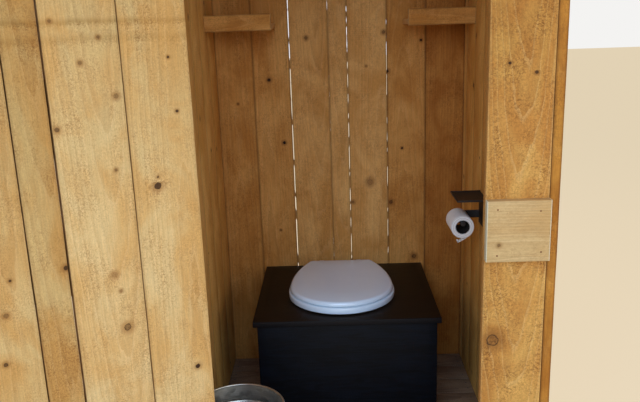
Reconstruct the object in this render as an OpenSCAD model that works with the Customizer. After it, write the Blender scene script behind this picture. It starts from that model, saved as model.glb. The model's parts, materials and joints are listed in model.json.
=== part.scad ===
// Wooden outhouse: an upright board hut with its door open, a box seat with a
// ring and lid, two corner shelves, a paper holder and a small metal pail.
// All sizes are in millimetres. X runs left to right seen from the front,
// Y runs from front to back and Z is up. The origin is on the ground,
// under the middle of the hut.

/* [Hut] */
// Clear width between the side walls
inside_w = 914; // [860:1:1100]
// Clear depth between the front boards and the back boards
inside_d = 1038; // [980:1:1300]
// Height of the roof's underside above the doorway, at the front face
over_door_h = 256; // [200:2:400]
// Fall of the roof from the front face to the back face
roof_fall = 240; // [120:5:320]

/* [Wall boards] */
// Thickness of the rough-sawn boards of walls, door and floor
board_t = 24; // [18:0.5:30]
// Widths of the back wall's boards from the left, before the last one
back_widths = [137, 137, 142, 70, 144, 141];
// Open joints between the back wall's boards from the left
back_gaps = [0.2, 2, 0.2, 1.6, 1.2, 0.2];
// Usual width of a side wall board
side_board_w = 143; // [100:1:170]
// Width of the left wall's rearmost board
left_end_w = 167; // [80:1:180]
// Width of the right wall's rearmost board
right_end_w = 72; // [60:1:180]
// Open joint between the side wall boards
side_gap = 1.2; // [0.5:0.1:3]

/* [Doorway] */
// Width of the front board left of the doorway
front_left_w = 102; // [90:1:160]
// Width of the front board right of the doorway
front_right_w = 146; // [100:1:180]
// Height of the doorway above the floor
doorway_h = 1884; // [1750:1:2100]

/* [Door] */
// Angle by which the door stands open
door_open = 147; // [100:1:155]
// Gap between the door and the board it hangs on
hinge_gap = 4; // [3:0.5:6]
// Gap between the closed door and the board on the latch side
latch_gap = 6; // [5:0.5:9]
// Gap between the door and the head of the doorway
head_gap = 6; // [5:0.5:12]
// Gap between the door and the floor
foot_gap = 8; // [5:0.5:20]
// Widths of the door's boards from the hinge side, before the last one
door_widths = [145, 149, 71, 148];
// Open joints between the door's boards from the hinge side
door_gaps = [1.5, 3.5, 2, 2.5];
// Width of the ledges that hold the door's boards together
ledge_w = 140; // [100:1:160]
// Thickness of the ledges and braces
ledge_t = 22; // [18:0.5:28]
// Height of the low ledge's lower edge above the floor
low_ledge_z = 170; // [150:1:300]
// Height of the middle ledge's lower edge above the floor
mid_ledge_z = 779; // [700:1:900]
// Distance from the head of the doorway down to the top ledge's lower edge
top_ledge_drop = 324; // [312:1:450]
// Distance from the door's hinge edge to the ledges
ledge_inset = 62; // [50:1:90]
// Distance from the door's latch edge to the ledges
ledge_latch_inset = 8; // [6:1:30]
// Width of the slanting braces
brace_w = 90; // [60:1:110]
// Distance from the braces' ends to the ledges' ends
brace_inset = 5; // [0:1:30]
// Radius of the knob's ball
knob_r = 19; // [15:0.5:24]
// Distance from the knob to the ledge's end
knob_inset = 60; // [40:1:90]
// Height of the block beside the doorway that meets the middle ledge
block_h = 146; // [100:1:160]
// Distance of the block's foot below the middle ledge
block_drop = 4; // [0:1:10]

/* [Door hinges] */
// Length of a strap from its pin
strap_l = 260; // [180:1:320]
// Width of a strap beside its knuckle
strap_w = 42; // [34:1:50]
// Length over which a strap keeps its full width
strap_neck = 20; // [12:1:60]
// Width of a strap at its round end
strap_end_w = 22; // [16:1:30]
// Thickness of straps and hinge plates
leaf_t = 3; // [2:0.5:4]
// Height of a hinge plate
plate_h = 110; // [90:1:150]
// Width of a hinge plate
plate_w = 42; // [30:1:60]
// Radius of a hinge knuckle
knuckle_r = 7; // [6:0.5:9]
// Radius of a hinge pin
hinge_pin_r = 4; // [3:0.5:4.5]
// Distance from the door's ends to the middle of a strap
strap_inset = 96; // [80:1:110]

/* [Floor and roof] */
// Width of the square ground bearers
bearer_w = 89; // [75:1:120]
// Size of the slanting cut under a bearer's ends
bearer_cut = 30; // [0:1:50]
// Distance from the wall faces to the middle of the outer bearers
bearer_inset = 80; // [70:1:90]
// Thickness of framing timber
frame_t = 38; // [30:1:50]
// Width of framing timber
frame_w = 89; // [70:1:110]
// Width of the posts behind the front boards
front_post_w = 64; // [50:1:66]
// Number of floor boards from front to back
floor_count = 10; // [8:1:13]
// Open joint between the floor boards
floor_gap = 3; // [1:0.5:6]
// Width of the opening in the floor under the seat box
pit_w = 400; // [320:1:440]
// Roof overhang in front of the front face
eaves_front = 160; // [80:5:260]
// Roof overhang behind the back face
eaves_back = 110; // [60:5:200]
// Roof overhang beside each side wall
eaves_side = 90; // [40:5:150]
// Number of roof boards
roof_count = 8; // [6:1:10]
// Open joint between the roof boards
roof_gap = 2; // [1:0.5:6]
// Thickness of the roof boards
roof_board_t = 19; // [16:0.5:25]
// Width of the battens over the roof's joints
batten_w = 56; // [40:1:80]
// Height of the fascia boards
fascia_h = 90; // [60:1:120]

/* [Seat box] */
// Width of the box's top
bench_w = 609; // [560:1:700]
// Depth of the box's top
bench_d = 536; // [500:1:580]
// Height of the box with its top
bench_h = 396; // [360:1:460]
// Thickness of the box's panels
panel_t = 19; // [15:0.5:22]
// Overhang of the top at the front
top_overhang_front = 10; // [6:1:25]
// Overhang of the top at each side
top_overhang_side = 13; // [6:1:25]
// Distance of the box's middle to the left of the hut's middle
bench_off = 5; // [0:1:30]
// Width and length of the hole in the top
bench_hole = [236, 286];

/* [Seat and lid] */
// Width of the seat ring
ring_w = 368; // [350:1:390]
// Width of the lid
lid_w = 358; // [340:1:380]
// Distance from the seat's widest place to its straight back edge
seat_back = 251; // [220:1:260]
// Width of the straight back edge
back_edge_w = 235; // [200:1:240]
// Thickness of the seat ring
ring_t = 21; // [16:0.5:26]
// Thickness of the lid
lid_t = 19; // [15:0.5:24]
// Rise of the lid's crowned top over its edge
lid_crown = 4; // [1:0.5:6]
// Width and length of the opening in the ring
ring_hole = [222, 272];
// Distance from the lid's back edge to the back wall
lid_to_wall = 68; // [66:1:130]
// Distance of the seat's middle to the left of the box's middle
seat_off = 13; // [0:1:15]
// Height of the rubber pads under the ring
pad_h = 5; // [3:0.5:7]
// Gap between ring and lid, which the lid's pads keep
lid_gap = 3; // [2:0.5:5]
// Radius of the rubber pads
pad_r = 9; // [6:0.5:12]
// Distance from the lid's back edge to the hinge pins
pin_behind = 14; // [12:0.5:20]
// Height of the hinge pins above the ring's top
pin_above = 1.5; // [0:0.5:4]
// Radius of the seat's hinge pins
seat_pin_r = 4; // [3:0.5:5]
// Distance from the seat's middle to each hinge post
post_x = 62; // [56:1:68]
// Width of a hinge post
post_w = 18; // [14:1:20]
// Width of the lugs on ring and lid
lug_w = 17; // [12:1:18]

/* [Shelves] */
// Length of each shelf along the back wall
shelf_l = 225; // [160:1:260]
// Depth of the shelf board
shelf_d = 172; // [120:1:220]
// Thickness of shelf boards and lips
shelf_t = 19; // [15:0.5:24]
// Height of the lip
lip_h = 56; // [45:1:80]
// Height of the lip's lower edge above the floor
lip_z = 1304; // [1200:1:1400]
// Distance from the lip's lower edge up to the shelf board
shelf_up = 5; // [0:1:20]

/* [Paper holder] */
// Height of the rod's middle above the floor
rod_z = 680; // [600:1:800]
// Distance from the wall to the rod's middle
rod_out = 78; // [60:1:95]
// Distance from the back wall to the holder's rear edge
holder_back = 322; // [280:1:400]
// Length of the holder's wall plate
holder_l = 136; // [130:1:160]
// Distance from the tray down to the plate's lower edge
holder_h = 104; // [98:1:130]
// Width of the tray
tray_w = 100; // [80:1:120]
// Height of the tray over the arm
tray_over_arm = 62; // [45:1:75]
// Height of the tray's lip
tray_lip = 6; // [3:0.5:12]
// Length of rod that shows beyond each end of the roll
rod_end = 8; // [3:0.5:12]
// Thickness of the holder's metal
holder_t = 3; // [2:0.5:4]
// Width of the arm
arm_w = 26; // [20:1:34]
// Radius of the rod
rod_r = 8; // [5:0.5:10]
// Radius of the paper roll
roll_r = 37.5; // [30:0.5:50]
// Length of the paper roll
roll_l = 104; // [95:1:110]
// Inner radius of the roll's card tube
core_r = 21.5; // [18:0.5:24]

/* [Pail] */
// Radius of the pail at its rim
pail_r = 128.5; // [110:0.5:130]
// Radius of the pail at its foot
pail_foot_r = 96; // [80:1:110]
// Height of the pail
pail_h = 293; // [260:1:300]
// Thickness of the pail's sheet
pail_t = 1.5; // [1:0.1:2.5]
// Gap between the pail's rim and the left wall
pail_gap = 4.5; // [3:0.5:20]
// Distance from the hut's front face to the pail's middle
pail_y = 193; // [188:1:320]
// Height of the pail's bottom over its foot
pail_base = 8; // [3:0.5:20]
// Heights of the ribs pressed into the pail's wall
rib_heights = [120, 242];
// Depth of a rib
rib_d = 2; // [1:0.25:3]
// Half the height of a rib
rib_h = 6; // [4:0.5:8]
// Radius of the rolled rim
bead_r = 3.5; // [2.5:0.5:5]
// Distance from the rim down to the middle of the ears
ear_drop = 14; // [13:1:30]
// Half the width of an ear
ear_r = 11; // [8:0.5:14]
// Distance by which an ear stands out from the rim's circle
ear_out = 6; // [4:0.5:10]
// Radius of the handle's wire
wire_r = 2.5; // [2:0.25:3.5]

/* [Hidden] */

// Smoothness of round parts
$fn = 48;
// Room between a pin and the bore that turns on it
pin_room = 0.06;
// Room between pieces that rest on or pass each other loosely
touch = 0.3;
// Room between the roof boards, their battens and the timbers under them
roof_seat = 0.1;
// Small overlap where shapes are joined or cut through
eps = 1;

// Outer faces of the hut
front_y = -inside_d / 2 - board_t;
back_y = inside_d / 2 + board_t;
side_x = inside_w / 2;
front_in = front_y + board_t;
back_in = back_y - board_t;

// Heights
frame_z = bearer_w;
floor_z = frame_z + frame_w + board_t;
head_z = floor_z + doorway_h;
front_h = doorway_h + over_door_h;
roof_slope = roof_fall / (back_y - front_y);
roof_angle = atan(roof_slope);
roof_v = roof_board_t / cos(roof_angle);

// Roof in plan
roof_w = inside_w + 2 * board_t + 2 * eaves_side;
roof_pitch = roof_w / roof_count;
roof_y0 = front_y - eaves_front;
roof_y1 = back_y + eaves_back;

// Height of the roof's underside at a place from front to back
function roof_z(y) = floor_z + front_h - roof_slope * (y - front_y);
// Sum of the first n values of a list
function sum(v, n) = n <= 0 ? 0 : v[n - 1] + sum(v, n - 1);

// Doorway and door
door_x0 = -side_x + front_left_w;
door_x1 = side_x - front_right_w;
door_w = door_x1 - door_x0 - hinge_gap - latch_gap;
door_h = doorway_h - foot_gap - head_gap;
door_z = floor_z + foot_gap;
hinge_edge = door_x0 + hinge_gap;
pin_x = door_x0 + hinge_gap / 2;
pin_y = front_y - knuckle_r - touch;
ledge_heights = [low_ledge_z, mid_ledge_z, doorway_h - top_ledge_drop];
ledge_x0 = hinge_edge + ledge_inset;
ledge_x1 = hinge_edge + door_w - ledge_latch_inset;
strap_zs = [door_z + strap_inset, door_z + door_h - strap_inset];
// Room between knuckles that turn beside each other
knuckle_gap = 0.5;
// Distance from the door's pin to the edge of a hinge plate
plate_back = knuckle_r + knuckle_gap;

// Seat box and seat
bench_x = -bench_off;
bench_z = floor_z + bench_h;
bench_front_y = back_in - bench_d;
box_w = bench_w - 2 * top_overhang_side;
box_y = bench_front_y + top_overhang_front;
box_h = bench_h - panel_t;
seat_x = bench_x - seat_off;
seat_y = back_in - lid_to_wall - seat_back;
ring_z = bench_z + pad_h + touch;
lid_z = ring_z + ring_t + lid_gap;
seat_pin_y = seat_y + seat_back + pin_behind;
seat_pin_z = ring_z + ring_t + pin_above;
// Radius of the hinge posts and of the lugs beside them
post_r = 9;
lug_r = 8;
// Length of the web from a lug's pin to the ring or lid
web_l = 24;
// Height of one layer of the ring's and the lid's shape
layer_h = 0.1;
// Margin over which the lid's crown rises
crown_margin = 70;
// Radii on the lower and the upper edge of ring and lid
low_edge_r = 3;
ring_edge_r = 9;
lid_edge_r = 11;
// Depth by which a pad is let into the ring or lid
pad_sink = 4;
// Places of the ring's and the lid's pads from the seat's widest place
ring_pads = [[-140, -60], [140, -60], [-120, 90], [120, 90]];
lid_pads = [[-150, -30], [150, -30]];

// Opening in the floor: whole floor boards are left short beside it
floor_pitch = inside_d / floor_count;
// The first and last of these boards, counted from the back wall
pit_first = 1;
pit_last = 3;

// Paper holder
holder_y1 = back_in - holder_back;
rod_x = side_x - rod_out;
rod_zz = floor_z + rod_z;
tray_z = rod_zz + arm_w / 2 + tray_over_arm;
roll_z = rod_zz - core_r + rod_r + touch;
roll_y1 = holder_y1 - holder_t - rod_end;

// Pail
pail_x = -side_x + pail_gap + pail_r + bead_r;
pail_yy = front_y + pail_y;
// Height of the ears over the pail's foot, and the way they face
ear_h = pail_h - ear_drop;
ear_angle = 43;
handle_r = pail_r + ear_out + 2 * wire_r + eps;
// The handle drops until its wire lies against the pail's slanting wall
pail_lean = atan((pail_r - pail_foot_r) / pail_h);
handle_drop = pail_lean + acos((pail_foot_r + ear_h * tan(pail_lean) + wire_r + eps)
                               * cos(pail_lean) / handle_r);

// Board with a foot at z0 and a top cut to the slope of the roof
module upright(x0, w, y0, y1, z0) {
    translate([x0, 0, 0]) rotate([90, 0, 90]) linear_extrude(w)
        polygon([[y0, z0], [y1, z0], [y1, roof_z(y1)], [y0, roof_z(y0)]]);
}

// Board that runs down the slope, lying a height v0 above the roof's underside
module sloped(x0, w, y0, y1, v0, v1) {
    translate([x0, 0, 0]) rotate([90, 0, 90]) linear_extrude(w)
        polygon([[y0, roof_z(y0) + v0], [y1, roof_z(y1) + v0],
                 [y1, roof_z(y1) + v1], [y0, roof_z(y0) + v1]]);
}

// Places pieces drawn on the closed door where they are with the door open
module on_door() {
    translate([pin_x, pin_y, 0]) rotate([0, 0, -door_open])
        translate([-pin_x, -pin_y, 0]) children();
}

// Timbers on the ground, with their lower ends cut back
module bearers() {
    color("#8a7350")
    for (y = [front_y + bearer_inset, 0, back_y - bearer_inset]) {
        l = inside_w / 2 + board_t;
        c = bearer_cut;
        translate([0, y + bearer_w / 2, 0]) rotate([90, 0, 0]) linear_extrude(bearer_w)
            polygon([[-l + c, 0], [l - c, 0], [l, c], [l, bearer_w], [-l, bearer_w], [-l, c]]);
    }
}

// Cross timbers at the front and back of the floor
module floor_rims() {
    color("#b08a55")
    for (y = [front_in, back_in - frame_t])
        translate([-side_x, y, frame_z]) cube([inside_w, frame_t, frame_w]);
}

// Timbers from front to back, two of them beside the opening in the floor
module floor_joists() {
    xs = [-side_x, bench_x - pit_w / 2 - frame_t, bench_x + pit_w / 2, side_x - frame_t];
    color("#b08a55")
    for (x = xs)
        translate([x, front_in + frame_t, frame_z])
            cube([frame_t, inside_d - 2 * frame_t, frame_w]);
}

// Floor boards across the hut, cut short beside the opening under the seat
module floor_boards() {
    color("#7d6a58")
    for (i = [0 : floor_count - 1]) {
        y = back_in - (i + 1) * floor_pitch + floor_gap / 2;
        w = floor_pitch - floor_gap;
        z = floor_z - board_t;
        if (i < pit_first || i > pit_last) {
            translate([-side_x, y, z]) cube([inside_w, w, board_t]);
        } else {
            left_end = bench_x - pit_w / 2;
            right_end = bench_x + pit_w / 2;
            translate([-side_x, y, z]) cube([left_end + side_x, w, board_t]);
            translate([right_end, y, z]) cube([side_x - right_end, w, board_t]);
        }
    }
}

// Plank that closes the floor's front edge in the doorway
module door_sill() {
    color("#b58c58")
    translate([door_x0 + touch, front_y, frame_z])
        cube([door_x1 - door_x0 - 2 * touch, board_t, floor_z - frame_z]);
}

// Back wall: boards of mixed widths, the last one takes what is left
module back_wall() {
    n = len(back_widths);
    color("#a9743f")
    for (i = [0 : n]) {
        x = -side_x + sum(back_widths, i);
        w = i < n ? back_widths[i] - back_gaps[i] : side_x - x;
        upright(x, w, back_in, back_y, frame_z);
    }
}

// Side wall: the rearmost board is set, the rest follow to the front
module side_wall(x0, end_w) {
    n = ceil((back_y - front_y - end_w) / side_board_w);
    upright(x0, board_t, back_y - end_w + side_gap, back_y, frame_z);
    for (i = [0 : n - 1]) {
        y1 = back_y - end_w - i * side_board_w;
        y0 = max(front_y, y1 - side_board_w + side_gap);
        upright(x0, board_t, y0, y1, frame_z);
    }
}

module left_wall() {
    color("#a87a45") side_wall(-side_x - board_t, left_end_w);
}

module right_wall() {
    color("#a87a45") side_wall(side_x, right_end_w);
}

module front_board_left() {
    color("#d0a263") upright(-side_x, front_left_w, front_y, front_in, frame_z);
}

module front_board_right() {
    color("#d0a263") upright(door_x1, front_right_w, front_y, front_in, frame_z);
}

// Short boards over the doorway, in line with those of the door
module front_header() {
    n = len(door_widths);
    w_all = door_x1 - door_x0;
    color("#d0a263")
    for (i = [0 : n]) {
        x = door_x0 + sum(door_widths, i) + sum(door_gaps, i);
        w = i < n ? door_widths[i] : door_x0 + w_all - x;
        upright(x + touch, w - 2 * touch, front_y, front_in, head_z);
    }
}

// Block on the front board, level with the door's middle ledge
module latch_block() {
    color("#dcb47c")
    translate([door_x1, front_y - ledge_t, floor_z + mid_ledge_z - block_drop])
        cube([front_right_w, ledge_t, block_h]);
}

// Posts laid flat behind the two front boards
module front_posts() {
    color("#b08a55")
    for (x = [-side_x, side_x - front_post_w])
        translate([x, front_in, floor_z])
            cube([front_post_w, frame_t, roof_z(front_in + frame_t) - frame_w - floor_z]);
}

// Rail between the posts, behind the feet of the short boards
module header_rail() {
    color("#b08a55")
    translate([-side_x + front_post_w, front_in, head_z])
        cube([inside_w - 2 * front_post_w, frame_t, frame_w]);
}

module front_top_rail() {
    rail_z = roof_z(front_in + frame_t) - frame_w;
    color("#b08a55") upright(-side_x, inside_w, front_in, front_in + frame_t, rail_z);
}

module back_top_rail() {
    rail_z = roof_z(back_in) - frame_w;
    color("#b08a55") upright(-side_x, inside_w, back_in - frame_t, back_in, rail_z);
}

// Rails along the tops of the side walls, cut to the slope
module side_top_rails() {
    color("#b08a55")
    for (x = [-side_x, side_x - frame_t])
        sloped(x, frame_t, front_in + frame_t, back_in - frame_t, -frame_w, 0);
}

// Timber across the hut under the middle of the roof boards
module roof_purlin() {
    color("#b08a55")
    sloped(-side_x + frame_t, inside_w - 2 * frame_t, -frame_t / 2, frame_t / 2, -frame_w, 0);
}

// Roof boards run from the high front edge down to the back
module roof_boards() {
    color("#8d7350")
    for (i = [0 : roof_count - 1])
        sloped(-roof_w / 2 + i * roof_pitch + roof_gap / 2, roof_pitch - roof_gap,
               roof_y0, roof_y1, roof_seat, roof_seat + roof_v);
}

// Battens cover the joints between the roof boards
module roof_battens() {
    color("#94795a")
    for (i = [1 : roof_count - 1])
        sloped(-roof_w / 2 + i * roof_pitch - batten_w / 2, batten_w,
               roof_y0, roof_y1, 2 * roof_seat + roof_v, 2 * roof_seat + 2 * roof_v);
}

// Boards under the front and back ends of the roof boards
module roof_fascia() {
    color("#94795a")
    for (y = [roof_y0, roof_y1 - roof_board_t])
        translate([-roof_w / 2, 0, 0]) rotate([90, 0, 90]) linear_extrude(roof_w)
            polygon([[y, roof_z(y) - fascia_h], [y + roof_board_t, roof_z(y) - fascia_h],
                     [y + roof_board_t, roof_z(y + roof_board_t)], [y, roof_z(y)]]);
}

// Door boards with open joints between them
module door_boards() {
    n = len(door_widths);
    color("#d2a566")
    on_door() for (i = [0 : n]) {
        x = hinge_edge + sum(door_widths, i) + sum(door_gaps, i);
        w = i < n ? door_widths[i] : hinge_edge + door_w - x;
        translate([x, front_y, door_z]) cube([w, board_t, door_h]);
    }
}

// Cross boards on the door's outer face
module door_ledges() {
    color("#dcb47c")
    on_door() for (h = ledge_heights)
        translate([ledge_x0, front_y - ledge_t, floor_z + h])
            cube([ledge_x1 - ledge_x0, ledge_t, ledge_w]);
}

// Braces rise from the hinge side to the latch side between the ledges
module door_braces() {
    color("#dcb47c")
    on_door() for (i = [0 : len(ledge_heights) - 2]) {
        z0 = floor_z + ledge_heights[i] + ledge_w;
        z1 = floor_z + ledge_heights[i + 1];
        run = ledge_x1 - ledge_x0 - brace_w;
        cut_w = brace_w / sin(atan((z1 - z0) / run));
        translate([0, front_y, 0]) rotate([90, 0, 0]) linear_extrude(ledge_t)
            polygon([[ledge_x0 + brace_inset, z0], [ledge_x0 + brace_inset + cut_w, z0],
                     [ledge_x1 - brace_inset, z1], [ledge_x1 - brace_inset - cut_w, z1]]);
    }
}

// Turned knob on the middle ledge, near the latch side: a foot, a neck and a ball
module door_knob() {
    foot_h = knob_r / 4;
    neck_h = knob_r * 0.7;
    color("#c79a60")
    on_door()
        translate([ledge_x1 - knob_inset, front_y - ledge_t, floor_z + mid_ledge_z + ledge_w / 2])
            rotate([90, 0, 0]) {
                cylinder(r = knob_r * 0.85, h = foot_h);
                cylinder(r1 = knob_r * 0.7, r2 = knob_r * 0.5, h = foot_h + neck_h);
                translate([0, 0, foot_h + neck_h + knob_r * 0.8]) sphere(r = knob_r);
            }
}

// Straps on the door turn on the pins of the hinge plates
module hinge_straps() {
    end_x = strap_l - strap_end_w / 2;
    color("#3a3835")
    on_door() for (z = strap_zs) difference() {
        union() {
            translate([pin_x, pin_y, z - strap_w / 2])
                cylinder(r = knuckle_r, h = strap_w);
            translate([pin_x, front_y, z]) rotate([90, 0, 0]) linear_extrude(leaf_t)
                polygon([[0, -strap_w / 2], [strap_neck, -strap_w / 2], [end_x, -strap_end_w / 2],
                         [end_x, strap_end_w / 2], [strap_neck, strap_w / 2], [0, strap_w / 2]]);
            translate([pin_x + end_x, front_y, z]) rotate([90, 0, 0])
                cylinder(r = strap_end_w / 2, h = leaf_t);
        }
        translate([pin_x, pin_y, z - strap_w / 2 - eps])
            cylinder(r = hinge_pin_r + pin_room, h = strap_w + 2 * eps);
    }
}

// Plates on the front board, each with two knuckles and the pin
module hinge_plates() {
    outer_h = (plate_h - strap_w) / 2 - knuckle_gap;
    color("#3a3835")
    for (z = strap_zs) {
        translate([pin_x - plate_back - plate_w, front_y - leaf_t, z - plate_h / 2])
            cube([plate_w, leaf_t, plate_h]);
        for (z0 = [z - plate_h / 2, z + plate_h / 2 - outer_h]) {
            translate([pin_x, pin_y, z0]) cylinder(r = knuckle_r, h = outer_h);
            translate([pin_x - plate_back - eps, front_y - leaf_t, z0])
                cube([plate_back + eps, leaf_t, outer_h]);
        }
        translate([pin_x, pin_y, z - plate_h / 2]) cylinder(r = hinge_pin_r, h = plate_h);
    }
}

// Long hole with round ends, cut through a sheet that starts at z
module long_hole(size, z, h) {
    r = size[0] / 2;
    half = (size[1] - size[0]) / 2;
    translate([0, 0, z]) {
        for (y = [-half, half]) translate([0, y, 0]) cylinder(r = r, h = h, $fn = 64);
        translate([-r, -half, 0]) cube([2 * r, 2 * half, h]);
    }
}

module bench_top() {
    color("#2b201a")
    difference() {
        translate([bench_x - bench_w / 2, bench_front_y, bench_z - panel_t])
            cube([bench_w, bench_d, panel_t]);
        translate([seat_x, seat_y, 0]) long_hole(bench_hole, bench_z - panel_t - eps, panel_t + 2 * eps);
    }
}

module bench_front() {
    color("#15171d")
    translate([bench_x - box_w / 2, box_y, floor_z]) cube([box_w, panel_t, box_h]);
}

module bench_sides() {
    color("#15171d")
    for (x = [bench_x - box_w / 2, bench_x + box_w / 2 - panel_t])
        translate([x, box_y + panel_t, floor_z]) cube([panel_t, back_in - box_y - panel_t, box_h]);
}

// Strips inside the box under its top
module bench_cleats() {
    l = back_in - box_y - panel_t;
    color("#2a241f")
    for (x = [bench_x - box_w / 2 + panel_t, bench_x + box_w / 2 - 2 * panel_t])
        translate([x, box_y + panel_t, floor_z + box_h - 2 * panel_t]) cube([panel_t, l, 2 * panel_t]);
}

// Right half of the seat's outline, from the front to the back edge:
// a half circle, then a flatter arc that meets the straight back edge
function seat_half(r, back) =
    let (e = back_edge_w / 2 - (lid_w / 2 - r),
         k = r - e,
         big = (k * k + back * back) / (2 * k),
         sweep = asin(back / big))
    concat([for (a = [-90 : 7.5 : 0]) [r * cos(a), r * sin(a)]],
           [for (i = [1 : 8]) [r - big + big * cos(sweep * i / 8), big * sin(sweep * i / 8)]]);

// Whole outline, drawn in by d all round
module seat_outline(w, d) {
    half = seat_half(w / 2 - d, seat_back - d);
    n = len(half);
    polygon(concat(half, [for (i = [1 : n - 1]) [-half[n - i][0], half[n - i][1]]]));
}

// One thin layer of a seat disc, its top at a height z and drawn in by d
module seat_layer(w, z, d) {
    translate([0, 0, z - layer_h]) linear_extrude(layer_h) seat_outline(w, d);
}

// Disc with the seat's outline: a small radius low on its edge, a large one
// above, and a top that rises by crown over a margin to its middle
module seat_disc(w, t, low_r, high_r, crown) {
    edge_z = t - crown;
    hull() {
        seat_layer(w, layer_h, low_r);
        seat_layer(w, low_r, 0);
        for (a = [0 : 22.5 : 90])
            seat_layer(w, edge_z - high_r * (1 - sin(a)), high_r * (1 - cos(a)));
        seat_layer(w, edge_z + crown * 0.7, high_r + crown_margin / 2);
        seat_layer(w, t, high_r + crown_margin);
    }
}

// Round lug with its web, bored for the hinge pin; z0 and z1 bound the web
module seat_lug(x0, z0, z1) {
    difference() {
        union() {
            translate([x0, seat_pin_y, seat_pin_z]) rotate([0, 90, 0]) cylinder(r = lug_r, h = lug_w);
            translate([x0, seat_pin_y - web_l, z0]) cube([lug_w, web_l, z1 - z0]);
        }
        translate([x0 - eps, seat_pin_y, seat_pin_z]) rotate([0, 90, 0])
            cylinder(r = seat_pin_r + pin_room, h = lug_w + 2 * eps);
    }
}

// Two posts on the box, each with a pin through it for ring and lid
module seat_hinge() {
    color("#e6e6e8")
    for (s = [-1, 1]) translate([seat_x, 0, 0]) {
        x0 = s > 0 ? post_x : -post_x - post_w;
        pin_x0 = s > 0 ? post_x - lug_w - knuckle_gap : -post_x - post_w - lug_w - knuckle_gap;
        translate([x0, seat_pin_y, seat_pin_z]) rotate([0, 90, 0]) cylinder(r = post_r, h = post_w);
        translate([x0, seat_pin_y - post_r, bench_z]) cube([post_w, 2 * post_r, seat_pin_z - bench_z]);
        translate([pin_x0, seat_pin_y, seat_pin_z]) rotate([0, 90, 0])
            cylinder(r = seat_pin_r, h = post_w + 2 * lug_w + 2 * knuckle_gap);
    }
}

// Seat ring on four pads, with a lug beside each post
module seat_ring() {
    color("#e2e2e8")
    difference() {
        union() {
            translate([seat_x, seat_y, ring_z])
                seat_disc(ring_w, ring_t, low_edge_r, ring_edge_r, layer_h);
            for (p = ring_pads)
                translate([seat_x + p[0], seat_y + p[1], ring_z - pad_h])
                    cylinder(r = pad_r, h = pad_h + pad_sink);
            for (x0 = [post_x - knuckle_gap - lug_w, -post_x + knuckle_gap])
                translate([seat_x, 0, 0]) seat_lug(x0, seat_pin_z - lug_r, seat_pin_z - pin_above - touch);
        }
        translate([seat_x, seat_y, 0]) long_hole(ring_hole, ring_z - eps, ring_t + 2 * eps);
    }
}

// Lid on two pads, with a lug outside each post
module seat_lid() {
    color("#e6e6ec")
    translate([seat_x, 0, 0]) {
        translate([0, seat_y, lid_z]) seat_disc(lid_w, lid_t, low_edge_r, lid_edge_r, lid_crown);
        for (p = lid_pads)
            translate([p[0], seat_y + p[1], lid_z - lid_gap + touch])
                cylinder(r = pad_r, h = lid_gap - touch + pad_sink);
        for (x0 = [post_x + post_w + knuckle_gap, -post_x - post_w - knuckle_gap - lug_w])
            seat_lug(x0, lid_z, seat_pin_z + lug_r);
    }
}

// Shelves in the back corners, level with their lips' lower part
module shelf_boards() {
    color("#a06f3c")
    for (x = [-side_x, side_x - shelf_l])
        translate([x, back_in - shelf_d, floor_z + lip_z + shelf_up]) cube([shelf_l, shelf_d, shelf_t]);
}

module shelf_lips() {
    color("#9c7040")
    for (x = [-side_x, side_x - shelf_l])
        translate([x, back_in - shelf_d - shelf_t, floor_z + lip_z]) cube([shelf_l, shelf_t, lip_h]);
}

// Wall plate, arm and rod that carry the roll
module paper_holder() {
    color("#161616") {
        translate([side_x - holder_t, holder_y1 - holder_l, tray_z - holder_h])
            cube([holder_t, holder_l, holder_h]);
        translate([rod_x - rod_r, holder_y1 - holder_t, rod_zz - arm_w / 2])
            cube([rod_out + rod_r, holder_t, arm_w]);
        translate([rod_x, holder_y1 - eps, rod_zz]) rotate([90, 0, 0])
            cylinder(r = rod_r, h = holder_t + rod_end + roll_l + rod_end);
    }
}

// Tray over the roll, with a low lip along its three free sides
module paper_tray() {
    color("#161616")
    translate([side_x - tray_w, holder_y1 - holder_l, tray_z]) difference() {
        cube([tray_w, holder_l, tray_lip]);
        translate([holder_t, holder_t, holder_t])
            cube([tray_w - holder_t + eps, holder_l - 2 * holder_t, tray_lip]);
    }
}

// Paper wound on its card tube, hanging on the rod
module paper_roll() {
    color("#e9e7ee")
    translate([rod_x, roll_y1, roll_z]) rotate([90, 0, 0]) difference() {
        cylinder(r = roll_r, h = roll_l, $fn = 64);
        translate([0, 0, -eps]) cylinder(r = core_r, h = roll_l + 2 * eps);
    }
}

// Radius of the pail's outer face at a height, rib_out further where a rib is
function pail_face(h, rib_out) = pail_foot_r + h * tan(pail_lean) + rib_out;

// Pail: tapered sheet wall with two ribs, raised bottom, rolled rim and two ears
module pail() {
    outer = concat([[pail_foot_r, 0]],
                   [for (z = rib_heights) for (k = [-1 : 1])
                       [pail_face(z + k * rib_h, k == 0 ? rib_d : 0), z + k * rib_h]],
                   [[pail_r, pail_h]]);
    n = len(outer);
    inner = [for (i = [1 : n]) [outer[n - i][0] - pail_t, outer[n - i][1]]];
    base_r = pail_face(pail_base, 0) - pail_t / 2;
    color("#9aa3a8")
    translate([pail_x, pail_yy, floor_z]) {
        rotate_extrude($fn = 72) {
            polygon(concat(outer, inner));
            translate([0, pail_base]) square([base_r, pail_t]);
            translate([pail_r, pail_h - bead_r]) circle(r = bead_r, $fn = 24);
        }
        for (a = [ear_angle, ear_angle + 180]) rotate([0, 0, a]) translate([0, 0, ear_h]) pail_ear();
    }
}

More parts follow.
